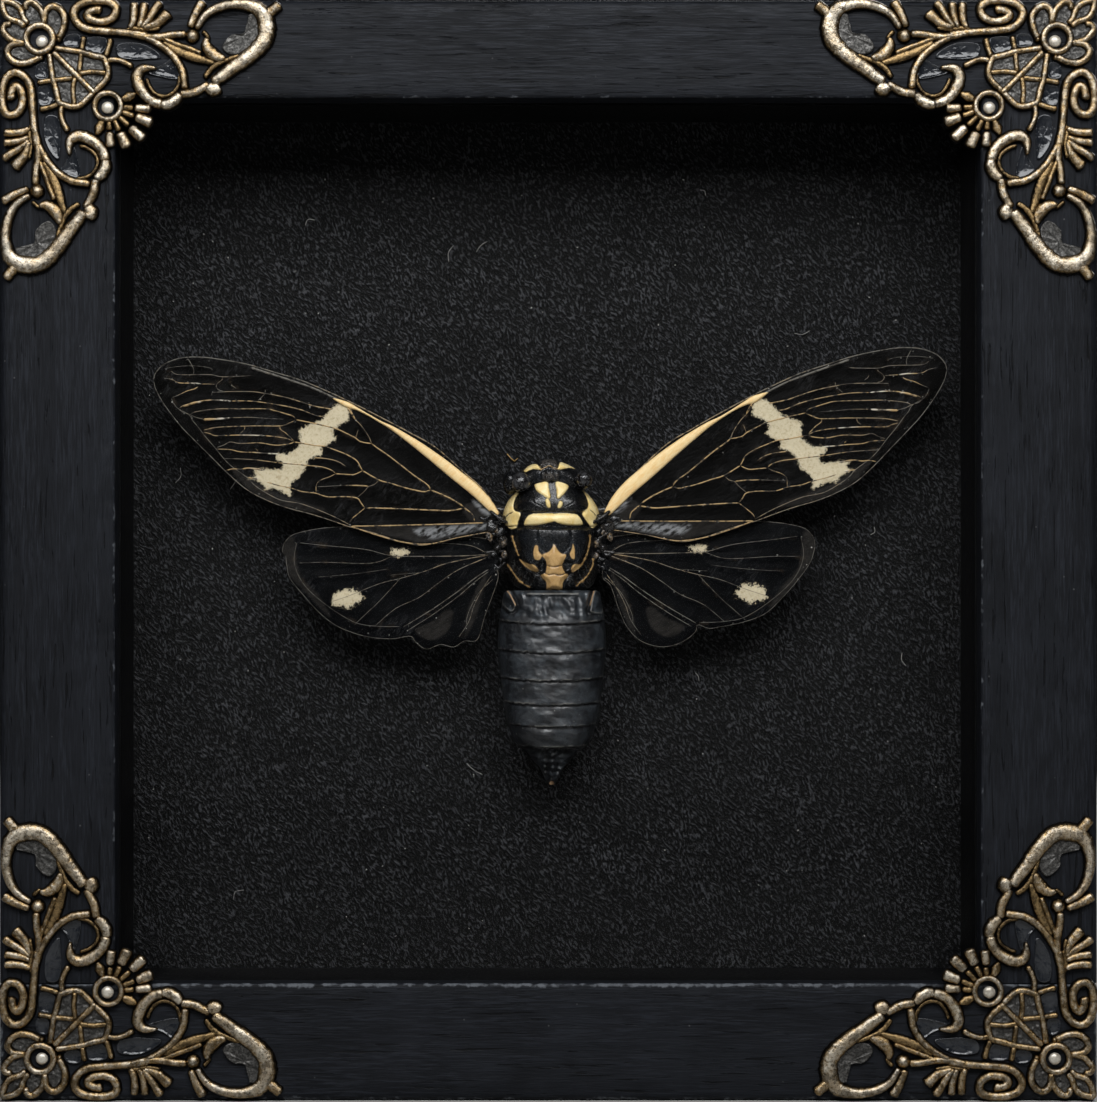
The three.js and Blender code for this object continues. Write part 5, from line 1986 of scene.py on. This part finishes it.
FORE_LEADING = [(7.9, 82.0), (10.0, 85.4), (13.1, 88.4), (16.9, 91.9), (20.7, 94.2), (23.7, 95.9),
                (28.3, 98.4), (32.1, 100.3), (35.9, 102.0), (39.8, 103.3), (43.6, 104.5), (47.4, 105.3),
                (50.4, 105.7), (53.1, 105.6), (55.4, 104.8), (56.7, 103.5), (56.95, 102.5)]
FORE_TRAILING = [(7.9, 79.8), (10.4, 79.5), (14.2, 78.9), (16.9, 78.3), (19.5, 78.0), (22.6, 78.7),
                 (26.0, 79.9), (29.5, 80.9), (31.4, 81.6), (34.8, 82.8), (38.2, 83.8), (41.0, 84.9),
                 (43.9, 86.5), (46.5, 88.8), (48.9, 91.3), (51.1, 93.6), (53.3, 96.0), (55.4, 98.9),
                 (56.6, 101.1), (56.95, 102.5)]
FORE_VEINS = (
    Vein([(11.6, 81.2), (11.8, 82.1), (12.3, 82.6), (13.05, 83.2)], (0.3, 0.4), (0.1, 0.0)),
    Vein([(13.05, 83.3), (14.2, 84.1), (15.15, 84.65), (16.5, 85.3), (17.8, 85.85)], (0.45, 0.36),
         (0.0, 0.0)),
    Vein([(17.8, 85.85), (17.95, 86.3), (18.5, 86.85), (19.9, 87.85), (21.8, 89.4), (23.7, 90.95),
          (25.3, 92.1), (26.0, 92.7)], (0.38, 0.36), (0.0, 0.1)),
    Vein([(26.0, 92.7), (26.8, 92.8), (27.7, 93.05), (28.3, 93.55), (29.5, 94.2), (31.2, 95.0), (34.0, 95.75),
          (35.5, 96.1), (36.8, 96.4)], (0.34, 0.3), (0.0, 0.1)),
    Vein([(26.0, 92.7), (26.3, 93.5), (26.8, 94.4), (27.55, 95.45), (28.2, 96.1)], (0.2, 0.22), (0.6, 0.5)),
    Vein([(28.2, 96.1), (28.7, 97.0), (29.3, 97.9)], (0.3, 0.9), (0.0, 0.0)),
    Vein([(28.3, 93.5), (28.0, 94.3), (27.8, 94.8)], (0.2, 0.12), (0.4, 0.7)),
    Vein([(17.8, 85.85), (18.6, 85.6), (19.7, 85.8), (21.45, 86.25), (23.2, 86.85), (25.1, 87.45),
          (27.4, 88.85)], (0.36, 0.36), (0.0, 0.1)),
    Vein([(27.4, 88.85), (27.75, 89.5), (28.2, 90.3), (29.5, 91.15), (31.0, 91.8), (32.7, 92.45),
          (34.0, 92.6), (35.5, 92.9), (37.05, 93.2)], (0.34, 0.3), (0.1, 0.1)),
    Vein([(27.4, 88.85), (28.1, 88.5), (28.8, 88.3), (30.0, 88.4), (31.3, 88.5)], (0.3, 0.3), (0.1, 0.1)),
    Vein([(31.3, 88.5), (31.75, 89.0), (33.1, 89.5), (34.8, 89.75), (36.9, 90.0), (39.5, 90.3)], (0.3, 0.24),
         (0.2, 0.3)),
    Vein([(31.3, 88.5), (32.1, 88.1), (33.3, 87.7), (33.95, 87.2), (34.1, 86.6), (34.1, 85.9)], (0.22, 0.22),
         (0.4, 0.4)),
    Vein([(13.05, 83.1), (15.0, 82.8), (17.1, 82.9), (19.9, 83.1), (22.8, 83.3), (25.65, 83.45),
          (27.2, 83.5)], (0.4, 0.36), (0.0, 0.1)),
    Vein([(27.2, 83.5), (27.75, 84.25), (28.3, 84.95), (30.0, 85.2), (32.1, 85.2), (33.1, 85.4), (34.2, 85.8),
          (36.15, 86.1), (37.6, 86.6), (39.6, 87.1), (41.2, 87.6)], (0.34, 0.22), (0.1, 0.3)),
    Vein([(27.2, 83.5), (28.1, 82.8), (29.1, 82.0), (29.5, 81.4)], (0.28, 0.24), (0.2, 0.4)),
    Vein([(10.3, 80.95), (15.15, 80.9), (20.9, 80.9), (25.65, 80.9), (29.3, 80.95)], (0.34, 0.34),
         (0.0, 0.1)),
    Vein([(16.1, 78.5), (17.4, 78.2), (19.0, 78.1), (20.9, 78.3), (22.8, 78.7), (24.7, 79.3), (26.6, 79.95),
          (29.3, 80.95)], (0.34, 0.36), (0.0, 0.0)),
    Vein([(31.4, 97.7), (34.05, 98.25), (35.8, 98.85), (37.6, 99.45), (39.3, 99.9), (41.1, 100.25),
          (42.9, 100.55), (45.9, 100.65), (48.7, 100.6)], (0.32, 0.18), (0.3, 0.8)),
    Vein([(41.0, 100.9), (41.1, 100.2), (42.15, 99.2)], (0.14, 0.18), (0.8, 0.7)),
    Vein([(48.6, 100.6), (48.7, 100.1)], (0.16, 0.12), (0.8, 0.9)),
    Vein([(32.8, 96.7), (34.0, 96.95), (36.2, 97.85), (39.3, 98.6), (43.0, 99.2), (45.9, 99.3)], (0.3, 0.26),
         (0.4, 0.3)),
    Vein([(45.9, 99.3), (48.2, 99.5), (50.3, 99.4), (52.6, 98.9), (53.5, 98.4)], (0.36, 0.2), (-0.9, 0.7)),
    Vein([(50.2, 99.3), (51.2, 99.2), (52.8, 98.7)], (0.6, 0.5), (-0.5, 0.5)),
    Vein([(36.8, 96.4), (37.1, 96.9), (38.1, 97.25), (39.7, 97.75), (41.1, 98.05), (44.8, 98.15),
          (48.0, 98.2), (51.0, 97.9), (51.9, 97.5)], (0.3, 0.2), (0.1, 0.7)),
    Vein([(36.8, 96.3), (37.75, 95.9), (39.0, 95.55), (43.0, 95.65), (47.8, 95.6), (50.0, 95.25)],
         (0.28, 0.22), (0.2, 0.6)),
    Vein([(39.0, 95.5), (39.0, 95.1), (38.1, 94.4), (37.05, 93.3)], (0.26, 0.28), (0.2, 0.1)),
    Vein([(38.4, 96.5), (41.1, 96.7), (43.4, 96.9), (45.9, 96.9)], (0.12, 0.2), (1.0, 0.5)),
    Vein([(45.9, 96.9), (47.6, 96.8), (50.0, 96.75)], (0.42, 0.7), (-0.8, 0.1)),
    Vein([(49.8, 96.8), (51.0, 97.1), (51.9, 97.55), (52.9, 97.9), (53.5, 98.4)], (0.2, 0.16), (0.7, 0.8)),
    Vein([(44.1, 95.7), (44.1, 95.2), (44.8, 94.6)], (0.2, 0.12), (0.3, 0.8)),
    Vein([(37.05, 93.2), (37.9, 93.65), (39.2, 93.95), (41.2, 94.2)], (0.24, 0.3), (0.5, 0.0)),
    Vein([(41.2, 94.2), (42.7, 94.3), (45.0, 94.4), (48.2, 94.4), (49.0, 94.7), (50.1, 95.0)], (0.34, 0.2),
         (-0.7, 0.5)),
    Vein([(37.05, 93.2), (37.75, 92.95), (39.7, 92.8), (42.0, 93.2), (44.8, 93.2), (46.2, 93.45),
          (47.1, 93.05), (48.2, 92.7)], (0.3, 0.18), (0.0, 0.8)),
    Vein([(39.3, 91.55), (40.75, 91.65), (42.7, 91.85), (44.8, 92.0), (46.2, 92.35), (48.2, 92.5)],
         (0.34, 0.2), (-0.6, 0.5)),
    Vein([(42.2, 92.0), (42.7, 92.5)], (0.3, 0.14), (0.0, 0.6)),
    Vein([(39.5, 90.3), (42.7, 90.8), (45.9, 91.05), (47.3, 91.1)], (0.26, 0.14), (0.2, 0.9)),
    Vein([(41.5, 89.3), (43.6, 89.65), (44.8, 89.5), (45.9, 89.6), (46.9, 89.4)], (0.44, 0.24), (-0.4, 0.3)),
    Vein([(42.3, 88.05), (43.9, 88.3)], (0.5, 0.24), (-0.6, 0.2)),
    Vein([(54.5, 100.0), (54.1, 99.1), (53.5, 98.4), (52.0, 97.5), (51.5, 96.65), (50.8, 95.8), (49.8, 94.4),
          (48.25, 92.5), (47.1, 91.0), (45.9, 89.8), (43.9, 88.3), (43.0, 87.3), (41.8, 86.4), (39.3, 85.0),
          (36.15, 84.3), (32.3, 82.7), (29.5, 81.2)], (0.16, 0.22), (0.9, 0.6)),
    Vein([(42.9, 102.9), (43.9, 102.8), (47.1, 102.8), (48.5, 103.1), (50.0, 103.2), (53.45, 103.3),
          (54.5, 103.9)], (0.2, 0.16), (0.8, 0.7)),
    Vein([(47.1, 102.8), (47.1, 102.4), (47.8, 101.9), (48.0, 101.4), (47.6, 100.9), (46.9, 100.7)],
         (0.2, 0.2), (0.6, 0.8)),
    Vein([(48.0, 101.75), (50.1, 101.85)], (0.18, 0.22), (0.7, 0.3)),
    Vein([(50.1, 101.85), (51.2, 102.0), (53.3, 102.1), (54.3, 102.6), (55.6, 102.9)], (0.4, 0.12),
         (-1.0, 1.2)),
    Vein([(50.6, 101.5), (51.1, 101.2), (52.2, 100.9), (53.45, 100.35), (54.4, 100.0)], (0.3, 0.14),
         (-0.3, 0.9)),
    Vein([(45.8, 101.9), (45.7, 101.5), (45.05, 101.0)], (0.2, 0.14), (0.5, 0.9)),
    Vein([(52.0, 105.6), (51.5, 104.75), (51.15, 103.9), (51.25, 103.15)], (0.22, 0.18), (0.8, 0.8)),
    Vein([(48.5, 103.6), (48.7, 104.05), (50.3, 104.4), (52.2, 104.5), (53.8, 104.4), (55.2, 104.2)],
         (0.12, 0.12), (1.1, 1.1)),
    Vein([(30.6, 99.05), (34.0, 100.75), (37.0, 101.9), (40.0, 102.95), (43.0, 104.0)], (0.5, 0.6),
         (0.9, 0.9)),
    Vein([(29.75, 89.5), (30.8, 90.2), (32.3, 90.65), (34.3, 90.9)], (0.2, 0.3), (0.6, 0.2)),
    Vein([(25.1, 87.4), (25.8, 86.8), (26.6, 86.55), (27.2, 85.9), (28.3, 85.0)], (0.18, 0.14), (0.6, 0.8)),
    Vein([(26.6, 86.6), (28.3, 86.75), (30.2, 86.8)], (0.4, 0.26), (0.2, 0.4)),
    Vein([(30.2, 86.8), (32.3, 86.75), (34.0, 86.7)], (0.16, 0.14), (0.8, 0.8)),
)
FORE_BAND = ([(28.6, 98.0), (29.2, 97.0), (29.1, 96.2), (30.4, 95.5), (31.2, 94.9), (31.5, 94.2),
              (31.1, 93.5), (31.9, 92.9), (33.2, 92.3), (33.1, 91.4), (34.3, 90.9), (35.2, 90.3),
              (35.6, 89.4), (35.9, 88.7), (37.0, 87.8), (37.8, 86.9), (37.7, 85.5), (39.2, 86.2),
              (40.1, 86.6), (41.3, 86.6), (41.6, 87.2), (42.5, 87.8), (43.8, 88.2), (42.6, 88.6),
              (42.9, 89.5), (40.6, 89.35), (39.0, 89.4), (38.8, 90.0), (39.1, 90.5), (39.7, 90.9),
              (39.4, 91.6), (37.9, 91.65), (37.0, 92.2), (36.2, 92.9), (36.2, 94.2), (36.2, 94.9),
              (35.0, 95.5), (33.3, 96.2), (32.4, 97.0), (31.6, 97.9), (30.4, 98.5), (29.6, 98.6)],)
FORE_COSTA = ((8.2, 81.8, 0.9), (9.8, 83.9, 1.75), (11.6, 85.8, 2.05), (13.6, 87.5, 2.1), (15.7, 89.3, 2.0),
              (17.6, 90.85, 1.75), (19.6, 92.4, 1.45), (21.4, 93.7, 1.1), (23.0, 94.8, 0.75),
              (24.6, 95.7, 0.42), (26.4, 96.8, 0.36), (28.0, 97.7, 0.6), (29.2, 98.25, 1.0),
              (30.3, 98.8, 0.7), (31.4, 99.3, 0.2))
FORE_SILVER_SHEEN = ([(8.2, 81.0), (12.0, 80.8), (17.0, 80.6), (20.4, 80.3), (18.5, 78.9), (14.5, 79.3),
                (10.5, 79.9), (8.2, 80.3)],
               [(9.4, 81.9), (10.5, 82.4), (11.8, 84.0), (11.3, 84.2), (10.1, 83.1), (9.1, 82.2)])
FORE_CLEAR = ([(8.0, 82.0), (11.5, 83.8), (13.2, 83.0), (11.6, 81.0), (8.0, 80.4)],
              [(10.6, 80.8), (20.0, 80.8), (28.0, 80.7), (22.0, 79.0), (18.0, 78.3), (12.0, 79.6)],
              [(33.0, 83.5), (40.0, 86.0), (46.0, 89.6), (43.5, 86.4), (41.0, 84.8), (35.0, 83.1)])

HIND_LEADING = [(8.4, 78.6), (14.0, 79.4), (20.0, 80.2), (26.0, 80.8), (29.4, 80.9), (32.1, 80.8),
                (34.4, 80.5), (36.7, 79.9), (37.9, 78.7), (38.2, 77.4)]
HIND_TRAILING_RIGHT = [(7.8, 74.4), (7.8, 72.8), (8.9, 71.7), (10.0, 68.6), (11.2, 65.9), (13.1, 63.9),
                       (15.7, 63.0), (18.0, 63.2), (19.9, 64.1), (21.1, 65.2), (21.4, 66.1), (23.0, 65.6),
                       (24.5, 65.8), (27.9, 66.5), (31.0, 67.7), (33.3, 69.8), (35.6, 72.4), (37.5, 75.1),
                       (38.2, 77.4)]
HIND_TRAILING_LEFT = [(7.5, 74.4), (7.5, 72.6), (9.4, 67.7), (10.6, 64.3), (12.5, 64.1), (14.0, 63.3),
                      (15.9, 63.7), (17.9, 63.1), (19.4, 64.1), (20.2, 65.0), (22.8, 64.7), (25.9, 65.0),
                      (28.6, 65.8), (30.9, 66.9), (33.2, 68.8), (35.5, 71.5), (37.2, 73.8), (37.6, 75.7),
                      (37.7, 77.0)]
HIND_VEINS = (
    Vein([(8.5, 76.4), (13.1, 76.3), (18.8, 76.4), (22.6, 76.6), (26.4, 77.6), (32.1, 78.3), (35.7, 78.8)],
         (0.24, 0.13), (0.7, 0.9)),
    Vein([(22.4, 76.5), (25.6, 75.6), (32.1, 75.9), (35.9, 75.9)], (0.16, 0.12), (0.7, 0.9)),
    Vein([(8.7, 76.3), (11.5, 75.9), (15.0, 75.2), (18.0, 74.2), (21.4, 73.3), (24.5, 72.6), (28.3, 71.2),
          (31.7, 70.1)], (0.26, 0.12), (0.5, 0.9)),
    Vein([(21.4, 73.3), (24.5, 70.1), (26.4, 68.4), (28.3, 66.7)], (0.16, 0.12), (0.7, 0.9)),
    Vein([(8.9, 76.0), (13.1, 74.3), (16.1, 72.4), (18.8, 70.5), (22.2, 69.0), (25.3, 66.5)], (0.24, 0.12),
         (0.6, 0.9)),
    Vein([(8.7, 74.3), (10.8, 73.0), (13.1, 71.3), (16.9, 68.8), (21.2, 66.3)], (0.30, 0.2), (0.8, 0.95)),
    Vein([(8.7, 74.0), (10.8, 72.5), (13.1, 70.6), (16.9, 68.0), (20.6, 65.8)], (0.22, 0.16), (0.8, 0.95)),
    Vein([(8.3, 73.4), (9.8, 71.3), (11.0, 69.0), (11.8, 66.8), (13.3, 64.6)], (0.2, 0.14), (0.6, 0.9)),
    Vein([(8.1, 72.9), (10.4, 70.7), (11.9, 67.8), (12.1, 66.3)], (0.16, 0.12), (0.7, 0.9)),
    Vein([(8.9, 76.6), (11.5, 77.8), (16.9, 78.3)], (0.2, 0.14), (0.7, 0.9)),
    Vein([(23.0, 74.7), (28.3, 74.1), (33.3, 73.8)], (0.10, 0.10), (0.9, 1.0)),
    Vein([(18.0, 74.1), (23.0, 73.8)], (0.10, 0.10), (0.9, 1.0)),
    Vein([(36.1, 78.9), (36.5, 75.9), (35.2, 72.8), (32.1, 69.8), (28.3, 67.3), (25.3, 66.6), (21.6, 66.4)],
         (0.12, 0.12), (0.8, 0.9)),
)
HIND_SPOTS = ([(26.8, 70.5), (27.9, 71.8), (29.8, 71.8), (31.0, 71.1), (31.2, 69.8), (29.8, 69.6),
               (28.9, 69.2), (27.9, 69.8)], [(20.1, 77.3), (22.4, 77.5), (22.2, 76.6), (20.7, 76.7)])
HIND_CLEAR = ([(14.0, 68.2), (15.0, 68.6), (16.9, 67.1), (18.8, 66.3), (19.5, 65.9), (18.8, 65.0),
               (16.9, 64.4), (14.8, 65.7)],
              [(36.6, 79.6), (38.4, 78.6), (38.4, 76.6), (37.0, 73.8), (35.0, 71.6), (31.6, 68.0),
               (33.0, 71.0), (35.6, 74.0), (36.3, 77.0)],
              [(9.0, 73.8), (9.6, 71.0), (11.0, 67.0), (12.4, 64.6), (12.0, 68.0), (10.6, 71.4)])


@dataclass
class Wings:
    """All four wings, the left ones mirrored and turned a little lower."""

    fore_depth: float
    hind_depth: float
    left_droop: float = np.radians(1.5)
    left_inward: float = 1.05
    left_narrow: float = 0.8

    def build(self) -> None:
        """Builds each wing."""
        vein = WingVein().material()
        sheets = {tone: Membrane(tone).material() for tone in WingTone}
        for name, side in (("left", -1), ("right", 1)):
            left = (self.left_droop, Wing.axis_x + self.left_inward, self.left_narrow)
            droop, axis_x, narrow = left if side < 0 else (0.0, Wing.axis_x, 1.0)
            costa = tuple((out, height, width * narrow) for out, height, width in FORE_COSTA)
            fore = Wing(f"forewing_{name}", side, self.fore_depth, FORE_LEADING, FORE_TRAILING, FORE_VEINS,
                        FORE_BAND, FORE_CLEAR, FORE_SILVER_SHEEN, costa, WingTone.SMOKE, droop, axis_x)
            trailing = HIND_TRAILING_LEFT if side < 0 else HIND_TRAILING_RIGHT
            hind = Wing(f"hindwing_{name}", side, self.hind_depth, HIND_LEADING, trailing, HIND_VEINS,
                        HIND_SPOTS, HIND_CLEAR, (), (), WingTone.INK, droop, rows=170, columns=110)
            for wing in (fore, hind):
                wing.build(vein, sheets)


# Loose fluff, hardware and the stage


@dataclass
class Fluff:
    """Tiny pale flakes and a few hairs that lie on the board, and the tan bristle above the head."""

    layout: Layout
    flakes: int = 130
    hairs: int = 12

    def flake(self, x: float, z: float, size: float, turn: float) -> Shape:
        """A thin lens of a flake: a short swept oval.

        Args:
            x: Where it lies.
            z: Where it lies.
            size: Half its length.
            turn: Its angle.

        Returns:
            The closed shape.
        """
        way = np.array([np.cos(turn), np.sin(turn)])
        flat = np.array([x, z]) + np.linspace(-1, 1, 5)[:, None] * way * size
        path = np.stack([flat[:, 0], np.full(5, self.layout.board - 0.06), flat[:, 1]], axis=1)
        width = 0.5 * size * np.sqrt(np.clip(1 - np.linspace(-1, 1, 5) ** 2, 0.04, 1))
        return swept(path, width, width * 0.4, ROUND)

    def hair(self, points: Points, width: float, finish: int) -> Shape:
        """A fine hair through (x, z) points just in front of the board.

        Args:
            points: The (x, z) points.
            width: Its thickness.
            finish: Which of the piece's materials it wears.

        Returns:
            The closed shape.
        """
        flat = smooth_line(points, 0.15)
        arch = 0.12 + 0.25 * np.sin(np.linspace(0, np.pi, len(flat)))
        path = np.stack([flat[:, 0], self.layout.board - arch, flat[:, 1]], axis=1)
        thick = width / 2 * rounded_ends(path, 0.2)
        return swept(path, thick, thick, ROUND, finish)

    def build(self) -> None:
        """Scatters the fluff with a fixed seed."""
        dice = np.random.default_rng(12)
        left, right, bottom, top = self.layout.window
        shapes = []
        for _ in range(self.flakes):
            x, z = dice.uniform(left + 2, right - 2), dice.uniform(bottom + 2, top - 2)
            shapes.append(self.flake(x, z, dice.uniform(0.05, 0.16), dice.uniform(0, np.pi)))
        for _ in range(self.hairs):
            x, z = dice.uniform(left + 5, right - 8), dice.uniform(bottom + 5, top - 8)
            turn, reach, bend = dice.uniform(0, 6.3), dice.uniform(0.7, 1.8), dice.uniform(-1.2, 1.2)
            steps = [(0, 0), (np.cos(turn), np.sin(turn)),
                     (np.cos(turn) + np.cos(turn + bend), np.sin(turn) + np.sin(turn + bend))]
            shapes.append(self.hair([(x + reach * a, z + reach * b) for a, b in steps], 0.07, 0))
        shapes.append(self.hair([(-5.9, 91.0), (-5.3, 90.3), (-4.75, 89.85)], 0.16, 1))
        shapes.append(self.hair([(-4.8, 89.85), (-4.55, 90.1), (-4.25, 90.35)], 0.12, 1))
        pale = Plain("pale fluff", (0.42, 0.41, 0.38), (0.22, 0.21, 0.20), 0.8).material()
        tan = Plain("tan bristle", (0.48, 0.30, 0.10), (0.30, 0.18, 0.06), 0.4).material()
        make_piece("loose_fluff", shapes, [pale, tan])


@dataclass
class BackScrews:
    """Slotted screw heads on the turn buttons, and the two small nails of the hanger."""

    radius: float = 1.9
    rise: float = 0.5
    offset: float = 3.6
    nail_radius: float = 1.2
    nail_rise: float = 0.25

    @staticmethod
    def head(x: float, y: float, z: float, radius: float, rise: float, turn: float) -> Shape:
        """A low domed head whose slot is a shallow dip along one line.

        Args:
            x: Its middle.
            y: The face that it stands on.
            z: Its middle.
            radius: Its radius.
            rise: How high its dome is.
            turn: The slot's angle.

        Returns:
            The closed shape.
        """
        climb = np.linspace(0, np.pi / 2 - 0.05, 12)
        cosine, sine = circle(48).T
        out = radius * np.cos(climb)[:, None]
        dx, dz = out * cosine, out * sine
        lift = rise * np.sin(climb)[:, None] ** 0.6 * np.ones(dx.shape)
        slot = bump_at(dx * np.sin(turn) - dz * np.cos(turn), 0.22)
        lift = lift * (1 - 0.7 * slot)
        return tube(np.stack([x + dx, y + lift, z + dz], axis=2))

    def build(self, steel: Material) -> None:
        """Puts a screw in the middle of each turn button and two nails in the hanger.

        Args:
            steel: The screws' material.
        """
        shapes = []
        for i, (side, level) in enumerate(((s, l) for s in ("left", "right") for l in ("lower", "upper"))):
            low, high = np.array(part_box(f"turn_button_{side}_{level}")) / MM
            middle = (low + high) / 2
            x = middle[0] + (-1 if side == "left" else 1) * self.offset
            shapes.append(self.head(x, high[1] - 0.02, middle[2], self.radius, self.rise, 0.5 + i))
        low, high = np.array(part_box("sawtooth_hanger")) / MM
        z = (low[2] + high[2]) / 2 + 0.6
        for x in (low[0] + 3, high[0] - 3):
            shapes.append(self.head(x, high[1] - 0.25, z, self.nail_radius, self.nail_rise, 0.4))
        make_piece("back_screws", shapes, [steel])


@dataclass
class Stage:
    """The floor, the lights and the camera at the photograph's viewing angle."""

    layout: Layout
    distance: float = 510.0
    photo_width: int = 1097
    photo_height: int = 1102
    pixels_per_mm: float = 7.21
    axis_pixel: Pair = (527.6, 638.7)
    sensor: float = 36.0

    def floor(self) -> None:
        """A pale floor just under the frame."""
        mesh = bpy.data.meshes.new("floor")
        reach = 1.5
        mesh.from_pydata([(-reach, -reach, 0), (reach, -reach, 0), (reach, reach, 0), (-reach, reach, 0)], [],
                         [(0, 1, 2, 3)])
        material, tree, shader = new_material("pale floor")
        wear(tree, shader, Base_Color=(0.38, 0.375, 0.36), Roughness=0.8)
        mesh.materials.append(material)
        floor = bpy.data.objects.new("floor", mesh)
        bpy.context.scene.collection.objects.link(floor)

    def lamp(self, name: str, at: Triple, size: Pair, power: float,
             colour: Triple = (1, 1, 1)) -> None:
        """A soft oblong lamp that faces the middle of the frame, placed in metres.

        Args:
            name: Its name.
            at: Where it is.
            size: Its width and height.
            power: Its power in watts.
            colour: Its colour.
        """
        light = bpy.data.lights.new(name, "AREA")
        light.shape = "RECTANGLE"
        light.size, light.size_y = size
        light.energy = power
        light.color = colour
        lamp = bpy.data.objects.new(name, light)
        bpy.context.scene.collection.objects.link(lamp)
        lamp.location = at
        aim = Vector((0, 0, self.layout.top / 2 * MM)) - lamp.location
        lamp.rotation_euler = aim.to_track_quat("-Z", "Y").to_euler()

    def lights(self) -> None:
        """A broad soft lamp above and in front, a weak fill, and a dim room."""
        self.lamp("top light", (0.0, -0.335, 0.33), (0.46, 0.20), 2.45, (0.97, 0.985, 1.0))
        self.lamp("front fill", (0.0, -0.95, 0.10), (0.5, 0.3), 0.12, (1.0, 1.0, 1.0))
        self.lamp("back fill", (0.3, 0.9, 0.6), (0.8, 0.6), 6.0)
        world = bpy.data.worlds.new("dim room")
        world.use_nodes = True
        world.node_tree.nodes["Background"].inputs["Color"].default_value = (0.5, 0.52, 0.55, 1)
        world.node_tree.nodes["Background"].inputs["Strength"].default_value = 0.008
        bpy.context.scene.world = world
        bpy.context.scene.view_settings.view_transform = "Standard"

    def camera(self) -> None:
        """The camera looks straight along +Y, off the frame's middle, and its shift frames the photograph."""
        x = self.layout.left + (self.axis_pixel[0] + 1) / self.pixels_per_mm
        z = (self.photo_height - 1 - self.axis_pixel[1]) / self.pixels_per_mm
        lens = bpy.data.cameras.new("photo camera")
        lens.sensor_width = self.sensor
        lens.lens = self.sensor * self.pixels_per_mm * self.distance / self.photo_height
        lens.shift_x = (self.photo_width / 2 - self.axis_pixel[0]) / self.photo_height
        lens.shift_y = (self.axis_pixel[1] - self.photo_height / 2) / self.photo_height
        lens.clip_start = 0.01
        camera = bpy.data.objects.new("photo camera", lens)
        camera.location = (x * MM, (self.layout.front - self.distance) * MM, z * MM)
        camera.rotation_euler = (np.pi / 2, 0, 0)
        bpy.context.scene.collection.objects.link(camera)
        bpy.context.scene.camera = camera

    def build(self) -> None:
        """Builds the stage."""
        self.camera()
        self.floor()
        self.lights()


def dress_nodes(frame: dict, steel: Material) -> None:
    """Gives the CAD nodes that stay their own finishes.

    Args:
        frame: What the loaded frame holds.
        steel: The material of the back's hardware.
    """
    board = PlainBoard("black spacer board", (0.0022, 0.0023, 0.0026), (0.007, 0.0072, 0.008)).material()
    brown = PlainBoard("raw hardboard", (0.10, 0.062, 0.036), (0.17, 0.115, 0.070)).material()
    finishes = {"glass_pane": ClearGlass().material(), "backing_sheet": GrainedBoard().material(),
                "back_panel": brown, "sawtooth_hanger": steel}
    finishes |= {f"spacer_{side}": board for side in ("bottom", "top", "left", "right")}
    finishes |= {f"turn_button_{s}_{l}": steel for s in ("left", "right") for l in ("lower", "upper")}
    for node, material in finishes.items():
        mesh = frame["nodes"][node].data
        mesh.materials.clear()
        mesh.materials.append(material)


def main() -> None:
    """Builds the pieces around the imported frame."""
    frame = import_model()
    layout = Layout.read()
    Stage(layout).build()
    dust_group()
    blotch_group()
    steel = Steel().material()
    dress_nodes(frame, steel)
    Rails(layout).build()
    bronze = Bronze(layout.front, Filigree.tallest).material()
    glue = Plain("clear glue", (0.010, 0.0115, 0.0145), (0.020, 0.022, 0.026), 0.10, 2.0).material()
    pewter = Pewter().material()
    nail = Steel("pale nail", 0.45, (0.62, 0.58, 0.50), (0.26, 0.22, 0.17)).material()
    for corner in Corner:
        Filigree(layout, corner).build([bronze, pewter, glue])
        for where in ("outer", "inner"):
            Tack(f"nail_{corner.name.lower()}_{where}").build(nail)
    Cicada(layout.board).build()
    fore, hind = (np.mean(np.array(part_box(n)) / MM, axis=0)[1] for n in ("forewing_right", "hindwing_right"))
    Wings(fore, hind).build()
    Fluff(layout).build()
    BackScrews().build(steel)


if __name__ == "__main__":
    logging.basicConfig(level=logging.INFO)
    main()
